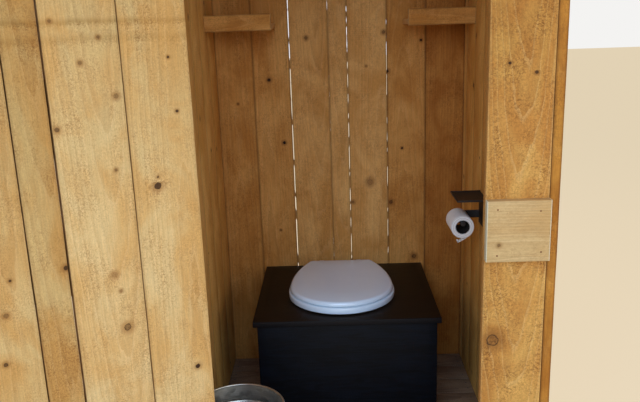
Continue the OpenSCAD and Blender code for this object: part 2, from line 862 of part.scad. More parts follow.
// Ear at the pail's wall, bored for the handle's wire; the wall's inside is cut away
module pail_ear() {
    foot_x = pail_r - 2 * bead_r;
    difference() {
        union() {
            translate([foot_x, -ear_r, -ear_r]) cube([pail_r + ear_out - foot_x, 2 * ear_r, ear_r]);
            translate([foot_x, 0, 0]) rotate([0, 90, 0]) cylinder(r = ear_r, h = pail_r + ear_out - foot_x);
        }
        translate([pail_r - bead_r, 0, 0]) rotate([0, 90, 0])
            cylinder(r = wire_r + touch, h = bead_r + ear_out + eps);
        translate([0, 0, -ear_h])
            cylinder(r1 = pail_foot_r - pail_t / 2, r2 = pail_r - pail_t / 2, h = pail_h, $fn = 72);
    }
}

// Wire handle, swung down to rest in front of the pail
module pail_handle() {
    end_x = pail_r - eps;
    color("#8e979c")
    translate([pail_x, pail_yy, floor_z + ear_h]) rotate([0, 0, ear_angle - 180])
    rotate([-handle_drop, 0, 0]) {
        rotate_extrude(angle = 180, $fn = 96) translate([handle_r, 0]) circle(r = wire_r, $fn = 16);
        for (x = [-handle_r, end_x]) translate([x, 0, 0]) rotate([0, 90, 0])
            cylinder(r = wire_r, h = handle_r - end_x, $fn = 16);
    }
}

bearers();
floor_rims();
floor_joists();
floor_boards();
door_sill();
back_wall();
left_wall();
right_wall();
front_board_left();
front_board_right();
front_header();
latch_block();
front_posts();
header_rail();
front_top_rail();
back_top_rail();
side_top_rails();
roof_purlin();
roof_boards();
roof_battens();
roof_fascia();
door_boards();
door_ledges();
door_braces();
door_knob();
hinge_straps();
hinge_plates();
bench_top();
bench_front();
bench_sides();
bench_cleats();
seat_hinge();
seat_ring();
seat_lid();
shelf_boards();
shelf_lips();
paper_holder();
paper_tray();
paper_roll();
pail();
pail_handle();
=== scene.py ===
# %% [markdown]
# The outhouse, dressed
#
# This lesson takes the plain solids of a small board-built outhouse and gives them the look of
# the real thing: rough-sawn softwood with knots and saw marks, a seat box brushed with black
# stain, a glossy white seat, a galvanised pail. The solids stay the measure of everything: each
# board made here is a worked copy of a solid, so it can't drift from its place.

# %% Load the frame
import json
import math
import random

import bmesh
import bpy
from mathutils import Matrix, Vector, noise
from mathutils.bvhtree import BVHTree

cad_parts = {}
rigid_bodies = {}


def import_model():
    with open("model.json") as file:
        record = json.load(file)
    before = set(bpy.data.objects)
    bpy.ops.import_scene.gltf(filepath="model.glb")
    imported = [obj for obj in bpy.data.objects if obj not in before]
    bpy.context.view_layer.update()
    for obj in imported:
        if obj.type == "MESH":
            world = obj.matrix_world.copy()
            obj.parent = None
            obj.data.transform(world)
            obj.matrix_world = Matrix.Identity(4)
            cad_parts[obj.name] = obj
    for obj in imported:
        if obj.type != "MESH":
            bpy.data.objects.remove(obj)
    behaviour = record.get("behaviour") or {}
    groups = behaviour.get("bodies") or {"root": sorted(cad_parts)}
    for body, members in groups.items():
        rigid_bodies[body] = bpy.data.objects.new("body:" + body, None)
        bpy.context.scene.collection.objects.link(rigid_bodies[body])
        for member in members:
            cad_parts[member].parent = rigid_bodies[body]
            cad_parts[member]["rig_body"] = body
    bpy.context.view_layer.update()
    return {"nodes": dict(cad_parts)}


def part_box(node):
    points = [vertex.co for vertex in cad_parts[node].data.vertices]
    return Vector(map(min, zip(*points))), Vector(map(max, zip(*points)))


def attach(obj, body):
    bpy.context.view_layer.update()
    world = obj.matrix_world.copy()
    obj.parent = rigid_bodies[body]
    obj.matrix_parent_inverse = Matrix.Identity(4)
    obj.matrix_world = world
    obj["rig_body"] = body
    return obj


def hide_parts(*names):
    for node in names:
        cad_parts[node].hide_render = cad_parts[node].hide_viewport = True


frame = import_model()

MM = 0.001

# %% [markdown]
# The camera
#
# The photograph was taken by hand from about a step and a half away, looking slightly down and
# not quite level. Where the camera stood was worked out from the edges of the boards. It comes
# first because the places of the knots are read through it further on: a pixel becomes a ray,
# and the ray finds the board.

# %% Camera
PHOTO_W, PHOTO_H = 640, 402
FOCAL_PX = 700
SENSOR_MM = 36
camera_at = Vector((-35.6, -2100.3, 1528.1)) * MM
turned_left = math.radians(1.18)
tilted_down = math.radians(14.33)
rolled = math.radians(1.94)

forward = Vector((-math.sin(turned_left) * math.cos(tilted_down),
                  math.cos(turned_left) * math.cos(tilted_down), -math.sin(tilted_down)))
level_right = Vector((math.cos(turned_left), math.sin(turned_left), 0))
level_down = forward.cross(level_right)
picture_right = math.cos(rolled) * level_right + math.sin(rolled) * level_down
picture_down = math.cos(rolled) * level_down - math.sin(rolled) * level_right

camera_data = bpy.data.cameras.new("photo_camera")
camera_data.sensor_width = SENSOR_MM
camera_data.lens = FOCAL_PX / PHOTO_W * SENSOR_MM
camera_data.clip_start = 0.05
camera = bpy.data.objects.new("photo_camera", camera_data)
axes = Matrix((picture_right, -picture_down, -forward)).transposed()
camera.matrix_world = Matrix.Translation(camera_at) @ axes.to_4x4()
bpy.context.scene.collection.objects.link(camera)
bpy.context.scene.camera = camera
print("lens", round(camera_data.lens, 2), "mm")


def seen_at(node, px, py):
    """The point of a CAD node that a pixel of the photograph shows, or None."""
    ray = forward + (px - PHOTO_W / 2) / FOCAL_PX * picture_right
    ray += (py - PHOTO_H / 2) / FOCAL_PX * picture_down
    mesh = frame["nodes"][node].data
    tree = BVHTree.FromPolygons([v.co for v in mesh.vertices], [p.vertices for p in mesh.polygons])
    return tree.ray_cast(camera_at, ray.normalized())[0]


# %% [markdown]
# Colours and nodes
#
# Colours are written as the eye knows them, in sRGB hex, and one function turns them into the
# linear values that light adds up in. A second small function adds one shader node, sets it and
# links it, so that a material reads from top to bottom like a recipe.

# %% Helpers for materials


def linear(code):
    """An sRGB colour written as hex, in the linear values that shaders use."""
    parts = [int(code[i:i + 2], 16) / 255 for i in (1, 3, 5)]
    return [c / 12.92 if c <= 0.04045 else ((c + 0.055) / 1.055) ** 2.4 for c in parts] + [1]


def add(tree, kind, inputs=None, out=0, **settings):
    """Adds one node: its settings, then its inputs, as plain values or other nodes' outputs."""
    node = tree.nodes.new("ShaderNode" + kind)
    for name, value in settings.items():
        setattr(node, name, value)
    for key, value in (inputs or {}).items():
        if isinstance(value, bpy.types.NodeSocket):
            tree.links.new(value, node.inputs[key])
        else:
            node.inputs[key].default_value = value
    return node.outputs[out] if node.outputs else node


def new_tree(owner):
    """The empty node tree of a material or world."""
    owner.use_nodes = True
    owner.node_tree.nodes.clear()
    return owner.node_tree


# %% [markdown]
# Light and floor
#
# The object stands on a plain pale floor in soft daylight. The world is the sky and fills the
# shade. A wide warm lamp far to the right stands for a hazy sun: it brings out the nap of the
# door, glances along the front boards and hardly reaches the inside. Three cool lamps in front
# stand for the open sky that looks in through the doorway. They are low enough to reach the back
# wall under the doorway's head, and they give the white seat its blue edge. A fifth, warm and
# behind the hut, lets light into the open joints. The white backdrop is only for the camera and
# for reflections, so it doesn't brighten the object, and the floor keeps its paleness far off in
# the same way.

# %% World and lamps
SKY_STRENGTH = 0.4
world = bpy.data.worlds.new("studio")
bpy.context.scene.world = world


def seen_by_eye(tree):
    """1 for what the camera sees, straight or reflected, and 0 for light that falls on things."""
    rays = add(tree, "LightPath").node.outputs
    seen = add(tree, "Math", {0: rays["Is Camera Ray"], 1: rays["Is Glossy Ray"]},
               operation="MAXIMUM")
    return add(tree, "Math", {0: seen, 1: rays["Is Transmission Ray"]}, operation="MAXIMUM")


tree = new_tree(world)
sky = add(tree, "Background", {"Color": linear("#e4ebf8"), "Strength": SKY_STRENGTH})
backdrop = add(tree, "Background", {"Color": linear("#f4f3f1"), "Strength": 1})
mixed = add(tree, "MixShader", {0: seen_by_eye(tree), 1: sky, 2: backdrop})
add(tree, "OutputWorld", {"Surface": mixed})


def soft_lamp(name, size, power, place, aim, colour):
    """A square lamp at a place, turned towards a point."""
    data = bpy.data.lights.new(name, "AREA")
    data.size = size
    data.energy = power
    data.color = linear(colour)[:3]
    lamp = bpy.data.objects.new(name, data)
    lamp.location = place
    lamp.rotation_euler = (Vector(aim) - Vector(place)).to_track_quat("-Z", "Y").to_euler()
    bpy.context.scene.collection.objects.link(lamp)


# Size in metres, power in watts, place, the point it is turned to, and colour
soft_lamp("hazy_sun", 2.0, 88, (5.6, -2.9, 2.0), (-0.5, -0.6, 0.8), "#ffe6c8")
soft_lamp("open_sky_in_front", 3.0, 132, (-0.3, -4.4, 3.4), (0, 0.2, 0.9), "#bcd6ff")
soft_lamp("sky_from_front_left", 2.0, 34, (-2.4, -4.2, 2.4), (0.2, 0, 1.0), "#e2edfb")
soft_lamp("sky_from_front_right", 2.0, 52, (2.6, -4.2, 2.0), (-0.3, 0, 0.9), "#e2edfb")
soft_lamp("low_light_behind", 1.6, 60, (-1.8, 4.0, 2.0), (0, 0.5, 1.0), "#ffd294")

# %% Floor
FLOOR_HALF, PALE_SHARE = 30, 0.7
floor_mesh = bpy.data.meshes.new("studio_floor")
corners = ((-1, -1), (1, -1), (1, 1), (-1, 1))
floor_mesh.from_pydata([(x * FLOOR_HALF, y * FLOOR_HALF, 0) for x, y in corners], [],
                       [(0, 1, 2, 3)])
studio_floor = bpy.data.objects.new("studio_floor", floor_mesh)
bpy.context.scene.collection.objects.link(studio_floor)
floor_paint = bpy.data.materials.new("pale_floor_paint")
tree = new_tree(floor_paint)
lit = add(tree, "BsdfPrincipled", {"Base Color": linear("#dcdad6"), "Roughness": 0.85})
pale = add(tree, "Emission", {"Color": linear("#fbe6bf"), "Strength": 1})
share = add(tree, "Math", {0: seen_by_eye(tree), 1: PALE_SHARE}, operation="MULTIPLY")
mixed = add(tree, "MixShader", {0: share, 1: lit, 2: pale})
add(tree, "OutputMaterial", {"Surface": mixed})
floor_mesh.materials.append(floor_paint)
bpy.context.scene.view_settings.view_transform = "Standard"
print("sky strength", SKY_STRENGTH, "lamps", len(bpy.data.lights))

# %% [markdown]
# Sawn softwood
#
# The boards are pine or fir, cut with a band saw and never planed. From near, such a face has
# four layers: growth rings, fine fibres along the board, a woolly nap that the teeth leave in
# brown flecks, and the saw's faint marks straight across. The colour wanders between straw and
# tan over a hand's breadth.
#
# A picture of wood wrapped round the boards would repeat, and would run the wrong way on a
# ledge or a brace. So the wood is worked out at each point from attributes of the mesh, which
# are made further on. The most telling one is the place in the log: every board was cut beside
# the log's middle and not quite along it, so the rings, which are just circles in the log, come
# out on the face as long nested arches. One recipe then serves every board at any angle.

# %% Softwood recipe: where the grain is
# Waves per metre across, through and along the board. The rings wave over 45 and 200 mm
RING_WAVES = (22, 22, 5)


def knot_and_grain(tree, ring_mm):
    """Reads the board's attributes. Gives a dict of the values that the recipe uses."""
    made = {"place": add(tree, "Attribute", out="Vector", attribute_name="board_place")}
    for key, attribute in (("tone", "board_tone"), ("knot_dark", "knot_dark")):
        made[key] = add(tree, "Attribute", out="Fac", attribute_name=attribute)
    across, through, along = add(tree, "SeparateXYZ", {0: made["place"]}).node.outputs[:3]
    made["across"], made["along"] = across, along
    to_knot = add(tree, "Attribute", out="Vector", attribute_name="knot_place")
    knot_x, knot_z, knot_r = add(tree, "SeparateXYZ", {0: to_knot}).node.outputs[:3]
    made["knot_r"] = knot_r

    # Distance to the knot's middle in knot radii; each knot has an uneven rim of its own
    x_radii = add(tree, "Math", {0: knot_x, 1: knot_r}, operation="DIVIDE")
    z_radii = add(tree, "Math", {0: knot_z, 1: knot_r}, operation="DIVIDE")
    own = add(tree, "Math", {0: along, 1: knot_z}, operation="SUBTRACT")
    own = add(tree, "Math", {0: own, 1: 40}, operation="MULTIPLY")
    flat = add(tree, "CombineXYZ", {0: x_radii, 1: z_radii})
    made["in_knot"] = add(tree, "CombineXYZ", {0: x_radii, 1: z_radii, 2: own})
    radii = add(tree, "VectorMath", {0: flat}, out="Value", operation="LENGTH")
    wobble = add(tree, "TexNoise", {"Vector": made["in_knot"], "Scale": 1.1, "Detail": 2})
    radii = add(tree, "Math", {0: wobble, 1: 0.8, 2: radii}, operation="MULTIPLY_ADD")
    made["knot"] = add(tree, "Math", {0: radii, 1: 0.4}, operation="SUBTRACT")

    # The grain steps aside round the knot, over a place three times as long as wide
    long_z = add(tree, "Math", {0: z_radii, 1: 0.34}, operation="MULTIPLY")
    oval = add(tree, "CombineXYZ", {0: x_radii, 1: long_z})
    sway = add(tree, "VectorMath", {0: oval, 1: oval}, out="Value", operation="DOT_PRODUCT")
    sway = add(tree, "Math", {0: sway, 1: -0.35}, operation="MULTIPLY")
    sway = add(tree, "Math", {0: sway}, operation="EXPONENT")
    push = add(tree, "Math", {0: knot_x, 1: sway}, operation="MULTIPLY")
    bent = add(tree, "Math", {0: across, 1: push}, operation="SUBTRACT")
    made["flow"] = add(tree, "CombineXYZ", {0: bent, 1: through, 2: along})

    # Growth rings: circles in the log, a little wavy, and each ring with a luck of its own
    log_x, log_y = add(tree, "SeparateXYZ", {
        0: add(tree, "Attribute", out="Vector", attribute_name="log_place")}).node.outputs[:2]
    log_x = add(tree, "Math", {0: log_x, 1: push}, operation="SUBTRACT")
    reach = add(tree, "CombineXYZ", {0: log_x, 1: log_y})
    reach = add(tree, "VectorMath", {0: reach}, out="Value", operation="LENGTH")
    slow = add(tree, "VectorMath", {0: made["flow"], 1: RING_WAVES}, operation="MULTIPLY")
    wavy = add(tree, "TexNoise", {"Vector": slow, "Scale": 1, "Detail": 3})
    reach = add(tree, "Math", {0: wavy, 1: 1.6 * ring_mm * MM, 2: reach}, operation="MULTIPLY_ADD")
    turns = add(tree, "Math", {0: reach, 1: 1 / (ring_mm * MM)}, operation="MULTIPLY")
    made["ring_luck"] = add(tree, "TexWhiteNoise", {
        "W": add(tree, "Math", {0: turns}, operation="FLOOR")}, noise_dimensions="1D")
    turns = add(tree, "Math", {0: turns}, operation="FRACT")
    for key, start, full in (("late", 0.35, 0.92), ("early", 0.22, 0.04)):
        made[key] = add(tree, "MapRange", {0: turns, 1: start, 2: full},
                        interpolation_type="SMOOTHSTEP")
    return made


# %% Softwood recipe: what the surface is like
# Fibres are 2.6 mm wide and 60 mm long: real ones are too fine to show. Patches of nap are
# some 60 by 90 mm
FIBRE_WAVES = (380, 380, 16)
PATCH_WAVES = (17, 17, 11)


def surface_marks(tree, wood, saw_mm, saw_slope, fleck_mm, fleck_tall):
    """Adds the fibres, the flecks of the nap, the saw marks and the edges to the recipe."""
    fine = add(tree, "VectorMath", {0: wood["flow"], 1: FIBRE_WAVES}, operation="MULTIPLY")
    wood["fibre"] = add(tree, "TexNoise", {"Vector": fine, "Scale": 1, "Detail": 3,
                                           "Roughness": 0.55})
    fleck = 1 / (fleck_mm * MM)
    fine = add(tree, "VectorMath", {0: wood["place"], 1: (fleck, fleck, fleck / fleck_tall)},
               operation="MULTIPLY")
    wood["nap"] = add(tree, "TexNoise", {"Vector": fine, "Scale": 1, "Detail": 3, "Roughness": 0.65,
                                         "Distortion": 0.9})

    # Flecks stand thick in some patches and in some rings, and are missing in others
    patch = add(tree, "VectorMath", {0: wood["place"], 1: PATCH_WAVES}, operation="MULTIPLY")
    patch = add(tree, "TexNoise", {"Vector": patch, "Scale": 1, "Detail": 3, "Roughness": 0.6})
    patch = add(tree, "MapRange", {0: patch, 1: 0.40, 2: 0.64, 3: 0.12, 4: 1})
    thick = add(tree, "MapRange", {0: wood["ring_luck"], 3: 0.45, 4: 1})
    patch = add(tree, "Math", {0: patch, 1: thick}, operation="MULTIPLY")
    flecks = add(tree, "MapRange", {0: wood["nap"], 1: 0.46, 2: 0.62})
    wood["flecks"] = add(tree, "Math", {0: flecks, 1: patch}, operation="MULTIPLY")

    # Saw marks: faint lines across the board at the blade's pitch
    slant = add(tree, "Math", {0: wood["across"], 1: saw_slope, 2: wood["along"]},
                operation="MULTIPLY_ADD")
    waver = add(tree, "TexNoise", {"Vector": wood["place"], "Scale": 9, "Detail": 1})
    slant = add(tree, "Math", {0: waver, 1: 0.02, 2: slant}, operation="MULTIPLY_ADD")
    wave = add(tree, "Math", {0: slant, 1: 2 * math.pi / (saw_mm * MM)}, operation="MULTIPLY")
    wave = add(tree, "Math", {0: wave}, operation="SINE")
    wood["saw"] = add(tree, "Math", {0: wave, 1: patch}, operation="MULTIPLY")

    # How near the long edges and the sawn ends are
    half = add(tree, "Attribute", out="Vector", attribute_name="board_half")
    half_w, _, half_l = add(tree, "SeparateXYZ", {0: half}).node.outputs[:3]
    for key, place, half, start, full in (("edge", wood["across"], half_w, 6, 1),
                                          ("end", wood["along"], half_l, 2.2, 0.6)):
        reach = add(tree, "Math", {0: place}, operation="ABSOLUTE")
        inside = add(tree, "Math", {0: half, 1: reach}, operation="SUBTRACT")
        wood[key] = add(tree, "MapRange", {0: inside, 1: start * MM, 2: full * MM})


# %% Softwood recipe: ground, rings and flecks


def ground_colour(tree, wood, look):
    """Straw to tan over a hand's breadth, with rings, pale lines, flecks and coloured edges."""
    wide = add(tree, "VectorMath", {0: wood["flow"], 1: look["broad"]}, operation="MULTIPLY")
    wood["wide"] = add(tree, "TexNoise", {"Vector": wide, "Scale": 1, "Detail": 4, "Roughness": 0.6,
                                          "Distortion": 0.6})
    share = add(tree, "MapRange", {0: wood["wide"], 1: 0.33, 2: 0.67},
                interpolation_type="SMOOTHSTEP")
    colour = add(tree, "Mix", {0: share, 6: linear(look["pale"]), 7: linear(look["warm"])}, out=2,
                 data_type="RGBA")
    lucky = add(tree, "MapRange", {0: wood["ring_luck"], 3: 0.12 * look["rings"],
                                   4: 0.42 * look["rings"]})

    # Brown late wood, a thin pale line where the next ring starts, the flecks, and the edges, which
    # carry painted shade in the inside woods and the seat box's top and a painted highlight on the
    # front boards
    for mark, strength, tint in ((wood["late"], lucky, look["ring"]),
                                 (wood["early"], 0.22 * look["lines"], look["line"]),
                                 (wood["flecks"], 0.55 * look["nap"], look["ring"]),
                                 (wood["edge"], look["edge_share"], look["edge"])):
        share = add(tree, "Math", {0: mark, 1: strength}, operation="MULTIPLY")
        colour = add(tree, "Mix", {0: share, 6: colour, 7: linear(tint)}, out=2, data_type="RGBA")
    return colour


# %% Softwood recipe: knots


def knot_colour(tree, wood, look, colour):
    """A wide warm halo, a thin dark rim, and a heart that is darkest in small knots."""
    halo = add(tree, "MapRange", {0: wood["knot"], 1: 3.4, 2: 0.9},
               interpolation_type="SMOOTHSTEP")
    halo = add(tree, "Math", {0: halo, 1: 0.6}, operation="MULTIPLY")

    # The heart of a large knot that grew in with the wood is grey-brown and cracked
    hollow = add(tree, "MapRange", {0: wood["knot_r"], 1: 3.5 * MM, 2: 6.5 * MM})
    pale_knot = add(tree, "MapRange", {0: wood["knot_dark"], 1: 0.98, 2: 0.8})
    hollow = add(tree, "Math", {0: hollow, 1: pale_knot}, operation="MULTIPLY")
    cracks = add(tree, "TexNoise", {"Vector": wood["in_knot"], "Scale": 2.2, "Detail": 3})
    cracks = add(tree, "MapRange", {0: cracks, 1: 0.64, 2: 0.44, 3: 0.35, 4: 0.9})
    cracks = add(tree, "Math", {0: cracks, 1: hollow}, operation="MULTIPLY")
    heart = add(tree, "MapRange", {0: wood["knot"], 1: 1.1, 2: 0.85})
    cracks = add(tree, "Math", {0: heart, 1: cracks}, operation="MULTIPLY")
    heart = add(tree, "Math", {0: heart, 1: cracks}, operation="SUBTRACT")
    away = add(tree, "Math", {0: wood["knot"], 1: 0.98}, operation="SUBTRACT")
    away = add(tree, "Math", {0: away}, operation="ABSOLUTE")
    rim = add(tree, "MapRange", {0: away, 1: 0.2, 2: 0.05})
    wood["heart"] = add(tree, "Math", {0: heart, 1: rim}, operation="MAXIMUM")
    dark = add(tree, "Math", {0: wood["heart"], 1: wood["knot_dark"]}, operation="MULTIPLY")
    for share, tint in ((halo, look["ring"]), (dark, look["knot"]), (wood["end"], look["end"])):
        colour = add(tree, "Mix", {0: share, 6: colour, 7: linear(tint)}, out=2, data_type="RGBA")
    return colour


# %% Softwood recipe: light and dark


def light_and_dark(tree, wood, look, colour):
    """Shades the colour by board, fibre, nap and saw mark, and browns it in dark bands."""
    nap, share = look["nap"], look["tone_share"]
    light = add(tree, "Math", {0: wood["tone"], 1: 0.6 * share, 2: 1}, operation="MULTIPLY_ADD")
    deep = add(tree, "Math", {0: wood["tone"], 1: -0.8 * share, 2: 1}, operation="MULTIPLY_ADD")
    for value, low, high in ((wood["fibre"], 0.91, 1.08),
                             (wood["nap"], 1 + 0.07 * nap, 1 - 0.08 * nap)):
        share = add(tree, "MapRange", {0: value, 1: 0.3, 2: 0.7, 3: low, 4: high})
        light = add(tree, "Math", {0: light, 1: share}, operation="MULTIPLY")
    share = add(tree, "Math", {0: wood["saw"], 1: 0.03 * look["saw"], 2: 1},
                operation="MULTIPLY_ADD")
    light = add(tree, "Math", {0: light, 1: share}, operation="MULTIPLY")

    # A dark band goes across the board with a wavering, broken edge
    for height, width, depth in look["stains"]:
        away = add(tree, "Math", {0: wood["along"], 1: height}, operation="SUBTRACT")
        away = add(tree, "Math", {0: wood["nap"], 1: 0.02, 2: away}, operation="MULTIPLY_ADD")
        away = add(tree, "Math", {0: wood["wide"], 1: 0.015, 2: away}, operation="MULTIPLY_ADD")
        away = add(tree, "Math", {0: away, 1: 0.0175}, operation="SUBTRACT")
        away = add(tree, "Math", {0: away}, operation="ABSOLUTE")
        share = add(tree, "MapRange", {0: away, 1: width, 2: 0, 3: 0, 4: depth})
        thin = add(tree, "MapRange", {0: wood["wide"], 1: 0.35, 2: 0.7, 3: 1, 4: 0.35})
        share = add(tree, "Math", {0: share, 1: thin}, operation="MULTIPLY")
        darker = add(tree, "Math", {0: share, 1: -0.6, 2: 1}, operation="MULTIPLY_ADD")
        light = add(tree, "Math", {0: light, 1: darker}, operation="MULTIPLY")
        deep = add(tree, "Math", {0: share, 1: 0.5, 2: deep}, operation="MULTIPLY_ADD")
    colour = add(tree, "Gamma", {0: colour, 1: deep})
    return add(tree, "VectorMath", {0: colour, "Scale": light}, operation="SCALE")


# %% Softwood recipe: the whole material
# Widths are in millimetres, strengths are shares of a usual one, colours are sRGB
USUAL_LOOK = {"knot": "#4a2a14", "line": "#e6c691", "edge": "#7a5228", "end": "#8a6a44",
              "ring_mm": 8, "saw_mm": 6, "fleck_mm": 4.2, "fleck_tall": 1.7, "saw_slope": 0.0,
              "nap": 1.0, "saw": 1.0, "rings": 1.0, "lines": 1.0, "edge_share": 0.2,
              "tone_share": 0.07, "broad": (9, 9, 5), "roughness": 0.82, "gloss": 0.25,
              "stains": ()}


def softwood(name, pale, warm, ring, **changes):
    """A wood: two ground colours, the late wood of its rings, and what differs from the usual."""
    look = {**USUAL_LOOK, "pale": pale, "warm": warm, "ring": ring, **changes}
    material = bpy.data.materials.new(name)
    tree = new_tree(material)
    wood = knot_and_grain(tree, look["ring_mm"])
    surface_marks(tree, wood, look["saw_mm"], look["saw_slope"], look["fleck_mm"],
                  look["fleck_tall"])
    colour = ground_colour(tree, wood, look)
    colour = knot_colour(tree, wood, look, colour)
    colour = light_and_dark(tree, wood, look, colour)

    # Relief in millimetres; knots are harder than the wood round them and stand a little higher
    relief = add(tree, "Math", {0: wood["fibre"], 1: 0.25}, operation="MULTIPLY")
    for mark, height in ((wood["nap"], -0.7 * look["nap"]), (wood["saw"], 0.05 * look["saw"]),
                         (wood["late"], 0.12 * look["rings"]), (wood["heart"], 0.2)):
        relief = add(tree, "Math", {0: mark, 1: height, 2: relief}, operation="MULTIPLY_ADD")
    bump = add(tree, "Bump", {"Height": relief, "Distance": MM, "Strength": 1})
    shader = add(tree, "BsdfPrincipled", {"Base Color": colour, "Roughness": look["roughness"],
                                          "Specular IOR Level": look["gloss"], "Normal": bump})
    add(tree, "OutputMaterial", {"Surface": shader})
    return material


# %% [markdown]
# The woods of the hut
#
# Door and front boards stand in the open and have bleached a little. The inside has kept its
# orange. Framing timber is planed at the mill, so it has no nap and few saw marks. The floor
# has gone grey-brown underfoot, the roof and the bearers with the weather. The seat box is
# painted with a thin near-black stain, and the brush leaves faint streaks. Its blue tint is a
# painted reflection of the sky; its top is browner, with edges darkened by painted shade.

# %% Dark bands across the boards
DOOR_STAIN_PX, DOOR_FAINT_PX, DOOR_TOP_PX, FRONT_TOP_PX = (120, 21), (120, 38), (120, 0), (520, 10)


def above_middle(node, px):
    """Height of a pixel's place on a node's boards above their middle."""
    low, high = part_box(node)
    return seen_at(node, *px).z - low.lerp(high, 0.5).z


# Height, half width of the band in metres, and depth. The narrow door bands are sticker stains
# from the lumber stack; the wide last band of each list makes the upper boards darker
door_stains = [(above_middle("door_boards", DOOR_STAIN_PX), 0.009, 0.42),
               (above_middle("door_boards", DOOR_FAINT_PX), 0.013, 0.25),
               (above_middle("door_boards", DOOR_TOP_PX), 0.5, 0.3)]
front_stains = [(above_middle("front_board_right", FRONT_TOP_PX), 0.25, 0.3)]
print("stains:", len(door_stains) + len(front_stains))

# %% Woods outside and in the doorway
# Bleached by sun and rain to straw, with a woolly nap that makes brown flecks
door_pine = softwood("rough_sawn_pine_of_door", "#dab87a", "#cf9f5a", "#98632b", knot="#38200c",
                     saw_slope=0.12, rings=0.45, lines=0.5, nap=1.15, ring_mm=7, tone_share=0.11,
                     fleck_mm=2.8, fleck_tall=1.3, stains=door_stains)
# The front boards' pale edges are a painted highlight along their arrises
front_pine = softwood("rough_sawn_pine_of_front", "#cf9a4c", "#b87a33", "#7e4a18", knot="#3a220e",
                      saw_slope=0.05, rings=0.45, lines=0.9, nap=1.7, fleck_mm=5.5,
                      fleck_tall=0.9, line="#dcb877", edge="#dcb577", edge_share=0.15,
                      stains=front_stains)
# Fir that the weather has greyed: less yellow, and the ground of the bearers is earthy
roof_wood = softwood("weathered_fir_roof", "#a38b69", "#8d7551", "#715a3c", nap=1.1,
                     roughness=0.88, line="#b09a78", end="#75603f")
bearer_wood = softwood("earth_stained_fir", "#8f7753", "#73603f", "#5a4830", nap=1.2,
                       roughness=0.9, line="#a08a66", end="#5a4a33")

# %% Woods inside
# Kept from the sun, so still honey-orange. Their edges and knots carry painted shade that makes
# them nearly black, and their sawn ends are painted paler, painted light against the shade on the
# shelves' ends
inside_look_with_painted_shade_and_light = {"saw_slope": 0.04, "saw": 1.6, "rings": 0.4, "lines": 0.3, "nap": 0.75,
            "tone_share": 0.1, "knot": "#241208", "edge": "#5e3b18", "edge_share": 0.45,
            "end": "#c79a5c"}
wall_pine = softwood("rough_sawn_pine_of_walls", "#dca155", "#c4853b", "#7c4719", **inside_look_with_painted_shade_and_light)
side_pine = softwood("rough_sawn_pine_of_sides", "#dda24c", "#c58634", "#7c4a19", **inside_look_with_painted_shade_and_light)
# Planed wood is smoother and paler. The sawn ends of the planed boards are nearly white, partly
# from a white sealer and partly as painted light of the sky on the latch block's end
planed_pine = softwood("planed_pine", "#cfac74", "#c49b60", "#9a6d36", nap=0.6, saw=0.2,
                       rings=0.4, roughness=0.6, saw_mm=3, ring_mm=6, fleck_mm=5, end="#ded8b8",
                       edge_share=0.1)
framing_pine = softwood("mill_planed_framing_pine", "#d5b27b", "#c49a62", "#a37443", nap=0.3,
                        saw=0.2, roughness=0.68, ring_mm=6, edge_share=0.05)
# Feet have greyed the floor and rubbed it smoother, and dirt lies in its wide saw marks
floor_wood = softwood("trodden_fir_floor", "#a0876a", "#856c54", "#5d4b3c", saw=2.5, saw_mm=9,
                      roughness=0.7, line="#ae9c87", end="#5f5040", edge="#46382c")

# %% Stained woods of the seat box
# Brushed with a thin black stain. Its blue tint is a painted reflection of the sky; the top is
# brown, with edges darkened by painted shade that dims the light on their bevels
brushed = {"nap": 0.5, "saw": 0.3, "rings": 0.3, "roughness": 0.45, "broad": (60, 60, 9)}
black_stain = softwood("near_black_stain_on_pine", "#0e131b", "#080a0e", "#050609",
                       knot="#040506", line="#131923", edge="#161b24", end="#08090c", gloss=0.12,
                       **brushed)
black_top = softwood("near_black_stain_brown_top", "#21170f", "#18110c", "#0c0908",
                     knot="#040404", line="#281d15", edge="#101115", edge_share=0.8,
                     end="#0d0c0d", gloss=0.15, **brushed)
print("woods:", len([m for m in bpy.data.materials if "pine" in m.name or "fir" in m.name]))

# %% [markdown]
# Boards from solids
#
# Every board of a wall shares one CAD node, as solids that don't touch. Here a node is copied
# and taken apart into its boards, and each board finds its own directions: through its broad
# faces, along its longest edge, and across. A box scaled to size would be simpler, but it
# would lose the slanted tops, the cut corners and the round hole that some boards have.

# %% Take a node apart into boards


def clean_copy(node):
    """A bmesh of a CAD node without the seams and triangles of its file."""
    work = bmesh.new()
    work.from_mesh(frame["nodes"][node].data)
    bmesh.ops.remove_doubles(work, verts=work.verts, dist=0.01 * MM)
    bmesh.ops.dissolve_limit(work, angle_limit=math.radians(1), verts=work.verts, edges=work.edges)
    return work


def separate(work):
    """Splits a bmesh into one bmesh for each group of faces that hang together."""
    left = set(work.faces)
    parts = []
    for start in list(work.faces):
        if start not in left:
            continue
        left.remove(start)
        group = [start]
        for face in group:
            for edge in face.edges:
                for other in edge.link_faces:
                    if other in left:
                        left.remove(other)
                        group.append(other)
        part = bmesh.new()
        made = {}
        for face in group:
            for vert in face.verts:
                if vert not in made:
                    made[vert] = part.verts.new(vert.co)
            part.faces.new([made[vert] for vert in face.verts])
        part.normal_update()
        parts.append(part)
    work.free()
    parts.sort(key=lambda part: [round(min(v.co[i] for v in part.verts), 3) for i in range(3)])
    return parts


